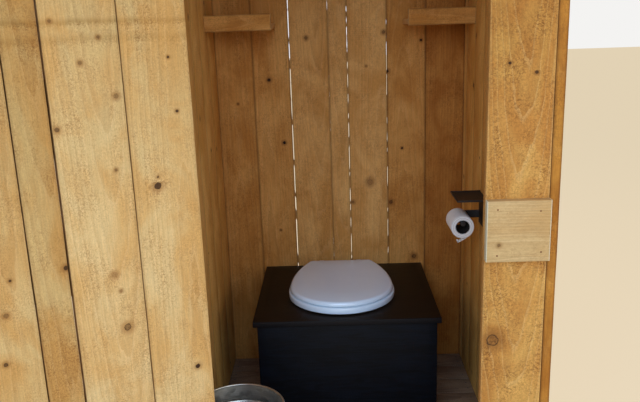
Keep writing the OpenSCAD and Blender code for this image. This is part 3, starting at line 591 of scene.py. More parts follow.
def board_axes(part, grain):
    """The board's directions across, through and along its grain."""
    through = max(part.faces, key=lambda f: f.calc_area()).normal.copy()
    level = [e.verts[1].co - e.verts[0].co for e in part.edges]
    level = [e for e in level if abs(e.normalized().dot(through)) < 0.02]
    along = Vector(grain) if grain else max(level, key=lambda e: e.length).normalized()
    for axis in (along, through):
        if max(axis, key=abs) < 0:
            axis.negate()
    across = along.cross(through).normalized()
    return across * (1 if max(across, key=abs) > 0 else -1), through, along


# %% [markdown]
# Knots
#
# A short list of pixels says where the photograph shows a knot, and its radius in millimetres.
# A board that the photograph doesn't show gets knots of its own, drawn from a seeded row of
# random numbers, so that each run gives the same hut.

# %% Where the knots are
# Pixel across, pixel down, radius in millimetres, and how dark
KNOTS_SEEN = {
    "door_boards": [(80, 63, 3.5, 0.4), (71, 71, 2, 0.5), (57, 130, 4, 0.7), (116, 96, 4.5, 0.45),
                    (168, 57, 2.6, 0.8), (177, 111, 3, 0.9), (158, 186, 7, 0.96),
                    (158, 177, 2.2, 0.8), (49, 21, 3, 0.4), (98, 37, 3, 0.4), (116, 170, 3, 0.5),
                    (128, 327, 7, 0.88), (66, 268, 4.5, 0.9), (115, 275, 5, 0.35),
                    (121, 291, 3, 0.35), (10, 281, 2.5, 0.8), (6, 316, 4.5, 0.5), (6, 365, 4, 0.8),
                    (198, 366, 5, 1)],
    "front_board_right": [(510, 63, 3, 0.9), (537, 72, 3.5, 0.8), (492.4, 340.4, 13.5, 0.82)],
    "back_wall": [(269, 80, 5.5, 0.95), (284.4, 142.7, 5, 1), (306, 38, 5, 0.8),
                  (383.5, 32, 5, 0.7), (387, 71, 5.5, 1), (402, 148, 3.5, 1), (421, 40, 3.5, 1),
                  (414, 256, 7, 0.82), (370, 182, 9, 0.3), (281, 230, 3, 0.6),
                  (238, 104, 3, 0.4), (353, 202, 5, 0.6), (366, 66, 3, 0.4),
                  (391, 202, 6, 0.84)],
    "latch_block": [(499, 245.5, 3.5, 0.5)],
}


def knots_by_chance(luck, half, spacing):
    """Knots of a board that the photograph doesn't show, as (across, along, radius, dark)."""
    knots = []
    place = -half.z + luck.uniform(0.2, 1.0) * spacing
    while place < half.z:
        radius = luck.uniform(2, 7) * MM
        room = max(0, half.x - 2 * radius)
        knots.append((luck.uniform(-room, room), place, radius, luck.uniform(0.3, 1)))
        place += luck.uniform(0.5, 1.5) * spacing
    return knots


# %% [markdown]
# Easing, slicing and marking
#
# The bevel comes first, on the clean solid, and the slices after it, so that they cut the bevel
# too. The slices let the edges wander a little, because a sawmill's edge is never straight.
# Where the daylight shows through an open joint, the two boards also touch here and there, so
# that the joint becomes a row of bright dashes. Each slice remembers the knot that is nearest to
# it. Its corners keep the distance to that knot, and such a distance grows evenly across a face,
# so the material gets it exact at every point between the corners.

# %% Knots of a board, and edges that wander
# Boards up to twice NARROW millimetres wide get no knots by chance. A face is broad where the
# cosine between its normal and the board's is above BROAD_FACE
NO_KNOT = (9, 9, 0.01, 0)
NARROW, BROAD_FACE = 20, 0.5


def board_knots(turn, middle, half, seen_knots):
    """The seen knots that lie on this board, as (across, along, radius, dark)."""
    knots = []
    for point, radius, dark in seen_knots:
        spot = turn @ point - middle
        if all(abs(spot[i]) <= half[i] + MM for i in range(3)):
            knots.append((spot.x, spot.z, radius, dark))
    return knots


def wander_edges(part, turn, middle, wander, joints, chance):
    """Lets the faces wander inwards, and the two long edges also out to meet their neighbours."""
    across, through = turn[0].copy(), turn[1].copy()
    for vert in part.verts:
        spot = turn @ vert.co - middle
        for axis, reach, share in ((across, spot.x, 1.0), (through, spot.y, 0.35)):
            swing = noise.noise(Vector((chance, reach * 3, spot.z * 7)))
            swing += 0.5 * noise.noise(Vector((reach * 3, chance, spot.z * 31)))
            side = 1 if reach > 0 else -1
            shift = -wander * share * min(1, max(0, 0.5 + 0.6 * swing))
            if axis is across and joints:
                width, open_more, seed, closed = joints[0 if side < 0 else 1]
                touch = noise.noise(Vector((seed * 7.3, 0.5, spot.z * 26)))
                touch += 0.6 * noise.noise(Vector((seed * 3.1, 4.5, spot.z * 71)))
                touch = min(1, max(0, 0.5 + 4 * (touch + closed - 0.5)))
                shift = (shift - open_more) * (1 - touch) + touch * 0.5 * width
            vert.co += axis * side * shift


# %% Mark one board for its material


def mark_board(part, turn, middle, half, knots, luck, tone, pith):
    """Writes down on each corner of each face where it is in the board and in the log."""
    # Where the log's middle lies: to one side, behind the face, and slanting by the log's taper
    pith_x, depth, taper = pith or (luck.uniform(-0.8, 0.8), luck.uniform(55, 110) * MM,
                                    luck.choice((-1, 1)) * luck.uniform(0.012, 0.05))
    depth = max(depth, abs(taper) * half.z + 12 * MM)

    vectors, numbers = part.loops.layers.float_vector, part.loops.layers.float
    place_at, log_at, knot_at, half_at = (vectors.new(n) for n in ("board_place", "log_place",
                                                                   "knot_place", "board_half"))
    tone_at, dark_at = numbers.new("board_tone"), numbers.new("knot_dark")
    tone = luck.uniform(-1, 1) if tone is None else tone
    shift = luck.uniform(2, 30)
    for face in part.faces:
        centre = turn @ face.calc_center_median() - middle
        near = NO_KNOT
        if abs(face.normal.dot(turn[1])) > BROAD_FACE:
            near = min(knots, key=lambda k: abs(k[1] - centre.z), default=NO_KNOT)
        for loop in face.loops:
            spot = turn @ loop.vert.co - middle
            loop[place_at] = spot + Vector((0, shift, 0))
            loop[log_at] = Vector((spot.x - pith_x * half.x, depth + spot.y + taper * spot.z, 0))
            loop[knot_at] = Vector((spot.x - near[0], spot.z - near[1], near[2]))
            loop[half_at] = half
            loop[tone_at] = tone
            loop[dark_at] = near[3]


# %% Work one board


def work_board(part, grain, ease, wander, slice_l, knots_seen, luck, spacing, tone, joints, pith):
    """Eases, slices and marks one board. Gives the number of its knots."""
    across, through, along = board_axes(part, grain)
    turn = Matrix((across, through, along))
    points = [turn @ v.co for v in part.verts]
    low = Vector([min(p[i] for p in points) for i in range(3)])
    high = Vector([max(p[i] for p in points) for i in range(3)])
    middle, half = (low + high) / 2, (high - low) / 2

    sharp = [e for e in part.edges if len(e.link_faces) == 2 and e.calc_face_angle(0) > 0.5]
    bmesh.ops.bevel(part, geom=sharp, offset=ease, segments=2, profile=0.6, affect="EDGES",
                    clamp_overlap=True)
    cuts = int(2 * half.z / slice_l)
    for i in range(1, cuts):
        place = low.z + 2 * half.z * i / cuts
        bmesh.ops.bisect_plane(part, geom=part.verts[:] + part.edges[:] + part.faces[:],
                               plane_co=along * place, plane_no=along, dist=0.001 * MM)

    knots = board_knots(turn, middle, half, knots_seen)
    if not knots and spacing and half.x > NARROW * MM:
        knots = knots_by_chance(luck, half, spacing)
    wander_edges(part, turn, middle, wander, joints, luck.uniform(0, 50))
    mark_board(part, turn, middle, half, knots, luck, tone, pith)
    return len(knots)


# %% [markdown]
# A finished piece is one mesh with all its boards. It rides on the CAD body of the solids that it
# replaces, and is named after their node.

# %% Make a boarded piece


def finish_piece(work, name, material, node, crease=35):
    """Makes an object of a bmesh, in the place of a CAD node or only beside it."""
    mesh = bpy.data.meshes.new(name)
    bmesh.ops.recalc_face_normals(work, faces=work.faces)
    work.to_mesh(mesh)
    work.free()
    mesh.polygons.foreach_set("use_smooth", [True] * len(mesh.polygons))
    mesh.set_sharp_from_angle(angle=math.radians(crease))
    mesh.materials.append(material)
    piece = bpy.data.objects.new(name, mesh)
    bpy.context.scene.collection.objects.link(piece)
    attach(piece, frame["nodes"][node]["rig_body"])
    return piece


def boarded(node, material, grain=None, ease=1.6, wander=0.9, slice_l=30, spacing=0.6, seed=1,
            tones=None, joints=None, pith=None):
    """The worked boards of a node; ease, wander, slice_l and joint widths are in millimetres."""
    luck = random.Random(seed)
    seen_knots = [(seen_at(node, px, py), r * MM, dark)
                  for px, py, r, dark in KNOTS_SEEN.get(node, ())]
    seen_knots = [knot for knot in seen_knots if knot[0]]
    whole = bmesh.new()
    boards = separate(clean_copy(node))
    closed = [(width * MM, more * MM, seed + i, share)
              for i, (width, more, share) in enumerate(joints or ())]
    knot_count = 0
    for i, part in enumerate(boards):
        pair = closed and (closed[i], closed[i + 1])
        knot_count += work_board(part, grain, ease * MM, wander * MM, slice_l * MM, seen_knots,
                                 luck, spacing, tones and tones[i], pair, pith)
        carrier = bpy.data.meshes.new("carrier")
        part.to_mesh(carrier)
        part.free()
        whole.from_mesh(carrier)
        bpy.data.meshes.remove(carrier)
    piece = finish_piece(whole, node + "_sawn", material, node)
    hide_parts(node)
    print(node, len(boards), "boards,", knot_count, "knots,", len(piece.data.polygons), "faces")


# %% Boards round the doorway
boarded("door_boards", door_pine, ease=1.0, spacing=0, seed=11, tones=(0, -0.6, -1.7, 0.4, 0.2))
boarded("front_board_right", front_pine, wander=0.6, seed=12, pith=(0.1, 0.10, -0.06))
for seed, node in enumerate(("front_board_left", "front_header", "door_sill"), 13):
    boarded(node, front_pine, seed=seed)

# %% Walls, floor and shelves
# Joints of the back wall from left to right: width in mm, how far each edge has shrunk back
# beside it, and how much of it is closed
BACK_JOINTS = [(0.1, 0, 0.9), (0.2, 0, 0.95), (2.0, 0.8, 0.22), (0.2, 0, 0.93), (1.6, 0.2, 0.42),
               (1.2, 0.6, 0.5), (0.2, 0, 0.95), (0.1, 0, 0.9)]
# The last tone of the back wall, -3.4, is painted shade on its board in the right-hand corner
boarded("back_wall", wall_pine, ease=0.8, slice_l=9, spacing=0, seed=16, joints=BACK_JOINTS,
        tones=(-0.9, -0.4, 0.8, 1, 1, -0.9, -3.4))
# The high tones of the side walls are painted light: they make the insides brighter than the wood
boarded("left_wall", side_pine, wander=0.8, seed=17, tones=(1.8, 2.6, 2.8, 2, 2.6, 2.4, 2, 1.4))
boarded("right_wall", side_pine, wander=0.8, seed=18,
        tones=(-3.3, 1.4, 2, 2.2, 1.8, 2.2, 1.8, 1.4, 2.2))
boarded("floor_boards", floor_wood, seed=19)
boarded("shelf_boards", wall_pine, wander=0.5, spacing=0, seed=20, tones=(2, 2))
boarded("shelf_lips", wall_pine, ease=2, wander=0.5, spacing=0, seed=21, tones=(-1, -1))

# %% Planed boards, frame, roof and seat box
boarded("latch_block", planed_pine, grain=(1, 0, 0), ease=1.2, wander=0.5, seed=22)
boarded("door_ledges", planed_pine, wander=0.5, seed=23)
boarded("door_braces", planed_pine, wander=0.5, seed=24)
for seed, node in enumerate(("front_posts", "header_rail", "front_top_rail", "back_top_rail",
                             "side_top_rails", "roof_purlin", "floor_rims", "floor_joists"), 31):
    boarded(node, framing_pine, ease=3, wander=0.4, seed=seed)
boarded("bearers", bearer_wood, ease=3, wander=1.5, seed=41)
boarded("roof_boards", roof_wood, wander=0.8, seed=42)
boarded("roof_battens", roof_wood, wander=0.5, spacing=0.7, seed=43)
boarded("roof_fascia", roof_wood, wander=0.5, spacing=0.7, seed=44)
boarded("bench_top", black_top, grain=(1, 0, 0), ease=2.5, wander=0.2, spacing=0, seed=45)
boarded("bench_front", black_stain, grain=(1, 0, 0), ease=1.5, wander=0.2, spacing=0, seed=46)
boarded("bench_sides", black_stain, ease=1.5, wander=0.2, spacing=0, seed=47)
boarded("bench_cleats", black_stain, wander=0.3, spacing=0, seed=48)

# %% [markdown]
# Skins over rings of points
#
# The seat, the pail, the roll, the knob and the wire handle are round or bent. All of them are
# made the same way: rings of points, one after the other, with faces between neighbours. A
# ring of a single point closes the shape to a tip. Turning, lofting and drawing a wire are
# then only different ways to lay out the rings.

# %% Skin, turning and wire


def skin(work, rings, closed=False):
    """Faces between neighbouring rings of points in millimetres; open ends get a lid."""
    made = [[work.verts.new(Vector(point) * MM) for point in ring] for ring in rings]
    steps = max(len(ring) for ring in made)
    for low, high in zip(made, made[1:] + (made[:1] if closed else [])):
        for i in range(steps):
            j = (i + 1) % steps
            corners = (low[i % len(low)], low[j % len(low)], high[j % len(high)],
                       high[i % len(high)])
            work.faces.new(list(dict.fromkeys(corners)))
    if not closed:
        for ring in (made[0], made[-1]):
            if len(ring) > 1:
                work.faces.new(ring)


def turned(profile, place, turn=None, steps=64):
    """Rings of points from (radius, height) pairs, round an axis at a place."""
    turn = turn or Matrix.Identity(3)
    rings = []
    for radius, height in profile:
        count = steps if radius else 1
        angles = [2 * math.pi * i / count for i in range(count)]
        rings.append([Vector(place) + turn @ Vector((radius * math.cos(a), radius * math.sin(a),
                                                     height)) for a in angles])
    return rings


def arc(middle_r, middle_h, radius, start, end, steps=6):
    """Points of an arc as (radius, height) pairs, from one angle to another in degrees."""
    angles = [math.radians(start + (end - start) * i / steps) for i in range(steps + 1)]
    return [(middle_r + radius * math.cos(a), middle_h + radius * math.sin(a)) for a in angles]


def along_path(path, section):
    """Rings of points of a section that is carried along a path, without twist."""
    rings = []
    side = None
    for i, point in enumerate(path):
        ahead = (path[min(i + 1, len(path) - 1)] - path[max(i - 1, 0)]).normalized()
        side = ahead.orthogonal() if side is None else side - ahead * side.dot(ahead)
        side.normalize()
        rise = ahead.cross(side)
        rings.append([point + side * a + rise * b for a, b in section])
    return rings


# %% [markdown]
# The seat
#
# Ring and lid are moulded wood with thick white enamel, the kind that stays cool and glossy.
# The lid is slightly domed. Both have the same outline: a half circle in front, flatter sides,
# and a straight back with small corners. The outline is drawn once and used at different
# insets, one ring of points for each step of the edge's roundness. A scaled disc would have
# edges that are thicker on one side than on the other; an inset keeps them even.

# %% Seat outline
SEAT_X, SEAT_Y = -18, 200
RING_W, LID_W = 368, 358
SEAT_BACK, BACK_W, BACK_CORNER = 251, 235, 14
HOLE_Y = 25
RING_Z, RING_T = 603.3, 21
LID_Z, LID_T, LID_CROWN = 627.3, 19, 4


def seat_outline(width, inset, z):
    """Points round ring or lid at a height, drawn in by an inset."""
    r = width / 2 - inset
    back = SEAT_BACK - inset
    corner = BACK_W / 2 - (LID_W / 2 - r)
    bulge = r - corner
    big = (bulge * bulge + back * back) / (2 * bulge)
    sweep = math.asin(back / big)
    half = [(r * math.cos(math.radians(a)), r * math.sin(math.radians(a)))
            for a in range(-90, 1, 5)]
    half += [(r - big + big * math.cos(sweep * i / 14), big * math.sin(sweep * i / 14))
             for i in range(1, 15)]
    half += [(corner - BACK_CORNER, back), (0, back)]
    points = half[:-1] + [(-x, y) for x, y in reversed(half[1:])]
    for _ in range(2):
        cut = []
        for (x0, y0), (x1, y1) in zip(points, points[1:] + points[:1]):
            cut += [(0.75 * x0 + 0.25 * x1, 0.75 * y0 + 0.25 * y1),
                    (0.25 * x0 + 0.75 * x1, 0.25 * y0 + 0.75 * y1)]
        points = cut
    return [Vector((SEAT_X + x, SEAT_Y + y, z)) for x, y in points]


def shrunk(ring, share, z):
    """A ring of points drawn towards the middle of the seat."""
    middle = Vector((SEAT_X, SEAT_Y + HOLE_Y, 0))
    return [Vector((*(middle + (p - middle) * share).xy, z)) for p in ring]


def edge_rings(width, z, low_r, high_r, side_top):
    """Rings of the outer edge, round below and rounder above."""
    insets = [(low_r - low_r * math.sin(math.radians(a)), low_r - low_r * math.cos(math.radians(a)))
              for a in range(0, 91, 30)]
    insets += [(high_r - high_r * math.cos(math.radians(a)),
                side_top - high_r + high_r * math.sin(math.radians(a))) for a in range(0, 91, 15)]
    return [seat_outline(width, inset, z + rise) for inset, rise in insets]


# %% Enamel of the seat
# Enamel on moulded wood: white, glossy and a little cold. A film of dust and the marks of
# wiping dull it in patches of a hand's breadth, and the coat has a faint orange peel of 4 mm
DUST_MM, PEELS_PER_M, PEEL_RELIEF_MM = 90, 260, 0.02


def dusted_gloss(name, colour, dust, roughness):
    """A glossy hard coat that dust and wiping have made uneven."""
    material = bpy.data.materials.new(name)
    tree = new_tree(material)
    place = add(tree, "TexCoord", out="Object")
    film = add(tree, "TexNoise", {"Vector": place, "Scale": 1 / (DUST_MM * MM), "Detail": 5,
                                  "Roughness": 0.65})
    share = add(tree, "MapRange", {0: film, 1: 0.42, 2: 0.75, 3: 0, 4: 0.3})
    shade = add(tree, "Mix", {0: share, 6: linear(colour), 7: linear(dust)}, out=2,
                data_type="RGBA")
    matt = add(tree, "MapRange", {0: film, 1: 0.35, 2: 0.8, 3: roughness, 4: roughness + 0.08})
    peel = add(tree, "TexNoise", {"Vector": place, "Scale": PEELS_PER_M, "Detail": 2})
    bump = add(tree, "Bump", {"Height": peel, "Distance": PEEL_RELIEF_MM * MM, "Strength": 1})
    shader = add(tree, "BsdfPrincipled", {"Base Color": shade, "Roughness": matt, "Normal": bump,
                                          "Coat Weight": 0.5, "Coat Roughness": 0.06})
    add(tree, "OutputMaterial", {"Surface": shader})
    return material


# The enamel's cold blue tint is painted light of the sky that looks in at the doorway
seat_enamel = dusted_gloss("white_enamel_on_moulded_wood", "#e4f6ff", "#dae9f4", 0.15)
print("enamel:", seat_enamel.name)

# %% Lugs and pads
PIN_Y, PIN_Z = 465, 625.8
POST_X, POST_W, LUG_W, LUG_GAP = 62, 18, 17, 0.5
LUG_R, BORE_R, WEB_L = 8, 4.06, 24


def seat_lug(work, x0, web_low, web_high):
    """A round lug, bored for the pin, with a web to the ring or lid."""
    lie = Matrix.Rotation(math.radians(90), 3, "Y")
    profile = [(BORE_R, 0), (LUG_R - 1, 0), (LUG_R, 1), (LUG_R, LUG_W - 1), (LUG_R - 1, LUG_W),
               (BORE_R, LUG_W)]
    skin(work, turned(profile, (SEAT_X + x0, PIN_Y, PIN_Z), lie, 32), closed=True)
    y0, y1 = PIN_Y - WEB_L, PIN_Y - BORE_R - 0.5
    web = [(y0, web_low), (y1, web_low), (y1, web_high), (y0, web_high)]
    skin(work, [[(SEAT_X + x, y, z) for y, z in web] for x in (x0 + 0.5, x0 + LUG_W - 0.5)])


def pads(work, places, z, high):
    """Soft round pads under ring or lid."""
    for x, y in places:
        skin(work, turned([(0, 0), (7.5, 0), (9, 1.5), (9, high), (0, high)],
                          (SEAT_X + x, SEAT_Y + y, z), steps=32))


# %% Lid
LID_EDGE_R, CROWN_INSETS = 11, (18, 28, 40, 54, 70, 86)
work = bmesh.new()
rings = edge_rings(LID_W, LID_Z, 2, LID_EDGE_R, LID_T - LID_CROWN)
for inset in CROWN_INSETS:
    share = (inset - LID_EDGE_R) / (CROWN_INSETS[-1] - LID_EDGE_R)
    rings.append(seat_outline(LID_W, inset, LID_Z + LID_T - LID_CROWN * (1 - share) ** 2))
rings += [shrunk(rings[-1], share, LID_Z + LID_T) for share in (0.7, 0.4)]
rings.append([(SEAT_X, SEAT_Y + HOLE_Y, LID_Z + LID_T)])
under = [[(SEAT_X, SEAT_Y + HOLE_Y, LID_Z + 5)], seat_outline(LID_W, 62, LID_Z + 5),
         seat_outline(LID_W, 56, LID_Z + 3.5), seat_outline(LID_W, 52, LID_Z)]
skin(work, under + rings)
pads(work, [(-150, -30), (150, -30)], LID_Z - 2.7, 6)
for x0 in (POST_X + POST_W + LUG_GAP, -POST_X - POST_W - LUG_GAP - LUG_W):
    seat_lug(work, x0, LID_Z, PIN_Z + LUG_R)
lid = finish_piece(work, "seat_lid_domed", seat_enamel, "seat_lid", crease=50)
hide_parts("seat_lid")
print("lid:", len(lid.data.polygons), "faces")

# %% Ring
HOLE_HALF_W, HOLE_STRAIGHT, HOLE_EDGE_R = 111, 25, 9


def hole_ring(outline, inset, z):
    """The ring's long hole with round ends, seen from each point of an outline."""
    half_w, straight = HOLE_HALF_W + inset, HOLE_STRAIGHT
    points = []
    for point in outline:
        away = Vector((point.x - SEAT_X, point.y - SEAT_Y))
        away.normalize()
        side = abs(away.x)
        if side > 1e-6 and abs(away.y) * half_w / side <= straight:
            reach = half_w / side
        else:
            lift = straight * abs(away.y)
            reach = lift + math.sqrt(lift * lift - straight * straight + half_w * half_w)
        points.append(Vector((SEAT_X + away.x * reach, SEAT_Y + away.y * reach, z)))
    return points


work = bmesh.new()
rings = edge_rings(RING_W, RING_Z, 3, 6, RING_T)
inner = [(HOLE_EDGE_R - HOLE_EDGE_R * math.sin(math.radians(a)),
          RING_T - HOLE_EDGE_R + HOLE_EDGE_R * math.cos(math.radians(a)))
         for a in range(0, 91, 15)] + [(0, 3), (1, 1), (3, 0)]
rings += [hole_ring(rings[0], inset, RING_Z + rise) for inset, rise in inner]
skin(work, rings, closed=True)
pads(work, [(-140, -60), (140, -60), (-120, 90), (120, 90)], RING_Z - 5, 9)
for x0 in (POST_X - LUG_GAP - LUG_W, -POST_X + LUG_GAP):
    seat_lug(work, x0, PIN_Z - LUG_R, PIN_Z - 1.8)
ring = finish_piece(work, "seat_ring_moulded", seat_enamel, "seat_ring", crease=50)
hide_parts("seat_ring")
print("ring:", len(ring.data.polygons), "faces")

# %% [markdown]
# Hard small parts
#
# Hinges, holder and tray are stamped steel, and the seat's hinge posts are moulded. Their
# solids have the right shape, but knife-sharp edges, which real metal never has. A copy with
# a small bevel catches a thin line of light along each edge.

# %% Powder coat, hinge steel and nails


def plain_metal(name, colour, other, metallic, roughness, spread, grain_mm, relief_mm):
    """Metal or powder coat with an uneven face: two colours, and a range of roughness."""
    material = bpy.data.materials.new(name)
    tree = new_tree(material)
    place = add(tree, "TexCoord", out="Object")
    cells = add(tree, "TexNoise", {"Vector": place, "Scale": 1 / (grain_mm * MM), "Detail": 4,
                                   "Roughness": 0.6})
    share = add(tree, "MapRange", {0: cells, 1: 0.35, 2: 0.65})
    shade = add(tree, "Mix", {0: share, 6: linear(colour), 7: linear(other)}, out=2,
                data_type="RGBA")
    matt = add(tree, "MapRange", {0: cells, 1: 0.3, 2: 0.7, 3: roughness, 4: roughness + spread})
    bump = add(tree, "Bump", {"Height": cells, "Distance": relief_mm * MM, "Strength": 1})
    shader = add(tree, "BsdfPrincipled", {"Base Color": shade, "Metallic": metallic,
                                          "Roughness": matt, "Normal": bump})
    add(tree, "OutputMaterial", {"Surface": shader})
    return material


# Baked powder on steel sheet: black, dull and very finely pebbled
powder_coat = plain_metal("matt_black_powder_coat", "#141313", "#1f1c1b", 0.0, 0.5, 0.15, 2.2,
                          0.06)
# Steel straps blackened in hot oil: dark with a soft shine that is patchy by a finger's width
hinge_steel = plain_metal("blackened_hinge_steel", "#2b2927", "#3d3733", 0.7, 0.45, 0.2, 9, 0.08)
# Nails: drawn wire stays greyish bright on the hut, and has rusted brown on the block
nail_steel = plain_metal("bright_wire_nail", "#77716a", "#5a5048", 0.9, 0.35, 0.2, 3, 0.05)
rusty_nail = plain_metal("rusted_wire_nail", "#8a5a30", "#6e4424", 0.2, 0.75, 0.15, 2, 0.1)
print("metals:", powder_coat.name, hinge_steel.name, nail_steel.name, rusty_nail.name)

# %% Small parts with eased edges


def eased(node, material, ease):
    """A copy of a node with small bevels along its sharp edges."""
    work = clean_copy(node)
    sharp = [e for e in work.edges if len(e.link_faces) == 2 and e.calc_face_angle(0) > 1.0]
    bmesh.ops.bevel(work, geom=sharp, offset=ease * MM, segments=2, profile=0.6, affect="EDGES",
                    clamp_overlap=True)
    piece = finish_piece(work, node + "_eased", material, node)
    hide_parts(node)
    print(piece.name, len(piece.data.polygons), "faces")


for node, material, ease in (("paper_holder", powder_coat, 0.6), ("paper_tray", powder_coat, 0.6),
                             ("hinge_straps", hinge_steel, 0.5), ("hinge_plates", hinge_steel, 0.5),
                             ("seat_hinge", seat_enamel, 0.8)):
    eased(node, material, ease)

# %% [markdown]
# The pail
#
# A small galvanised pail: sheet steel that was dipped in molten zinc, which freezes in dull
# crystals that are called spangle. Two ribs are pressed into the wall to stiffen it, and the
# rim is rolled over a wire. It is turned from one closed profile, inside and outside, so that
# the sheet has its real thickness. The zinc is drawn with cells of some centimetres and with
# faint rings from the press.

# %% Zinc
# Hot-dip zinc: a grey metal whose crystals differ a little in brightness and roughness. They
# are 14 mm wide, and the rings of the press are 6.5 mm apart, coarser than real so that they show
SPANGLE_MM, PRESS_MM = 14, 6.5


def zinc_sheet():
    """Galvanised sheet steel with spangle and faint rings from the press."""
    material = bpy.data.materials.new("galvanised_sheet_with_spangle")
    tree = new_tree(material)
    place = add(tree, "TexCoord", out="Object")
    bent = add(tree, "TexNoise", {"Vector": place, "Scale": 40, "Detail": 2}, out="Color")
    bent = add(tree, "VectorMath", {0: bent, 1: (0.012, 0.012, 0.012), 2: place},
               operation="MULTIPLY_ADD")
    spangle = add(tree, "TexVoronoi", {"Vector": bent, "Scale": 1 / (SPANGLE_MM * MM)},
                  out="Color")
    spangle = add(tree, "SeparateXYZ", {0: spangle})
    height = add(tree, "SeparateXYZ", {0: place}).node.outputs[2]
    rings = add(tree, "Math", {0: height, 1: 2 * math.pi / (PRESS_MM * MM)}, operation="MULTIPLY")
    rings = add(tree, "Math", {0: rings}, operation="SINE")
    rings = add(tree, "MapRange", {0: rings, 1: -1, 2: 1})
    share = add(tree, "Math", {0: rings, 1: 0.3, 2: spangle}, operation="MULTIPLY_ADD")
    shade = add(tree, "MapRange", {0: share, 1: 0, 2: 1.3})
    colour = add(tree, "Mix", {0: shade, 6: linear("#a3a39b"), 7: linear("#bdbdb6")}, out=2,
                 data_type="RGBA")
    matt = add(tree, "MapRange", {0: spangle, 3: 0.3, 4: 0.4})
    relief = add(tree, "Math", {0: rings, 1: 0.12, 2: spangle}, operation="MULTIPLY_ADD")
    bump = add(tree, "Bump", {"Height": relief, "Distance": 0.12 * MM, "Strength": 1})
    shader = add(tree, "BsdfPrincipled", {"Base Color": colour, "Metallic": 0.9, "Roughness": matt,
                                          "Normal": bump})
    add(tree, "OutputMaterial", {"Surface": shader})
    return material


zinc = zinc_sheet()
print("zinc:", zinc.name)

# %% Pail and its ears
PAIL_X, PAIL_Y, PAIL_Z = -320.5, -350, 202
RIM_R, FOOT_R, PAIL_H, SHEET = 128.5, 96, 293, 1.5
EAR_ANGLE, EAR_H, EAR_R, EAR_OUT = 43, 279, 11, 6


def wall_r(height, out=0):
    """Radius of the pail's outer face at a height."""
    return FOOT_R + height * (RIM_R - FOOT_R) / PAIL_H + out


RIB_HEIGHTS, RIB_HALF, BEAD_R, BASE_H = (120, 242), 6, 3.5, 8
wall = []
for rib in RIB_HEIGHTS:
    for k in range(-RIB_HALF, RIB_HALF + 1):
        bulge = 2 * math.cos(math.radians(15 * k)) ** 2 if abs(k) < RIB_HALF else 0
        wall.append((wall_r(rib + k, bulge), rib + k))
outside = [(FOOT_R + 0.4, 0), (wall_r(2), 2)] + wall + [(wall_r(PAIL_H - 9), PAIL_H - 9)]
inside = [(r - SHEET, h) for r, h in wall]
bead = arc(RIM_R, PAIL_H - BEAD_R, BEAD_R, 235, -55, 14)
profile = [(0, BASE_H + SHEET), (wall_r(BASE_H) - SHEET - 5, BASE_H + SHEET),
           (wall_r(BASE_H + 5) - SHEET, BASE_H + SHEET + 4)] + inside
profile += [(wall_r(PAIL_H - 10) - SHEET, PAIL_H - 10)] + bead + outside[::-1]
profile += [(FOOT_R - SHEET, 0.5), (wall_r(BASE_H - 1) - SHEET, BASE_H - 1), (0, BASE_H - 0.2)]

work = bmesh.new()
skin(work, turned(profile, (PAIL_X, PAIL_Y, PAIL_Z), steps=96))
EAR_BACK, PIN_HOLE_R = 125.9, 2.8
out = RIM_R + EAR_OUT
ear = [(PIN_HOLE_R, EAR_BACK), (EAR_R, EAR_BACK), (EAR_R, EAR_BACK + 1.6), (9, EAR_BACK + 3.6),
       (6, out - 2), (5.2, out - 0.6), (4, out), (PIN_HOLE_R, out - 0.8)]
for side in (EAR_ANGLE, EAR_ANGLE + 180):
    aim = Matrix.Rotation(math.radians(side), 3, "Z") @ Matrix.Rotation(math.radians(90), 3, "Y")
    skin(work, turned(ear, (PAIL_X, PAIL_Y, PAIL_Z + EAR_H), aim, 32), closed=True)
pail = finish_piece(work, "pail_of_zinc_sheet", zinc, "pail", crease=40)
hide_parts("pail")
print("pail:", len(pail.data.polygons), "faces")

# %% Handle of the pail
HANDLE_R, WIRE_R, WIRE_END, HANDLE_DROP = 140.5, 2.5, 127.5, 28.99
hang = Matrix.Translation((PAIL_X, PAIL_Y, PAIL_Z + EAR_H))
hang @= Matrix.Rotation(math.radians(EAR_ANGLE - 180), 4, "Z")
hang @= Matrix.Rotation(math.radians(-HANDLE_DROP), 4, "X")
angles = [math.radians(a) for a in range(2, 179, 4)]
bow = [Vector((HANDLE_R * math.cos(a), HANDLE_R * math.sin(a), 0)) for a in angles]
bow = [Vector((WIRE_END, 0, 0)), Vector((WIRE_END + 6, 0, 0)), Vector((HANDLE_R - 3, 0.4, 0))] + bow
bow += [Vector((-p.x, p.y, 0)) for p in reversed(bow[:3])]
round_wire = [(WIRE_R * math.cos(math.radians(a)), WIRE_R * math.sin(math.radians(a)))
              for a in range(0, 360, 30)]
work = bmesh.new()
skin(work, along_path([hang @ p for p in bow], round_wire))
handle = finish_piece(work, "pail_handle_wire", zinc, "pail_handle", crease=50)
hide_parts("pail_handle")
print("handle:", len(handle.data.polygons), "faces")

# %% [markdown]
# The paper roll
#
# Soft white tissue, wound on a grey card tube. The layers show on the end as fine rings, drawn
# here some five millimetres apart because the real ones are too fine to see. The last turn
# hangs off in a short tail with a torn edge that curls. Tail and tube are pieces of their own
# that turn with the roll.

# %% Paper and card
# Tissue: a warm white without gloss, softly crinkled. The crepe has 420 waves to the metre
ROD_X, ROLL_Z, ROLL_Y1, ROLL_L, ROLL_R, CORE_R = 379, 868.8, 186, 104, 37.5, 21.5
LAYER_MM, CREPES_PER_M = 5.4, 420


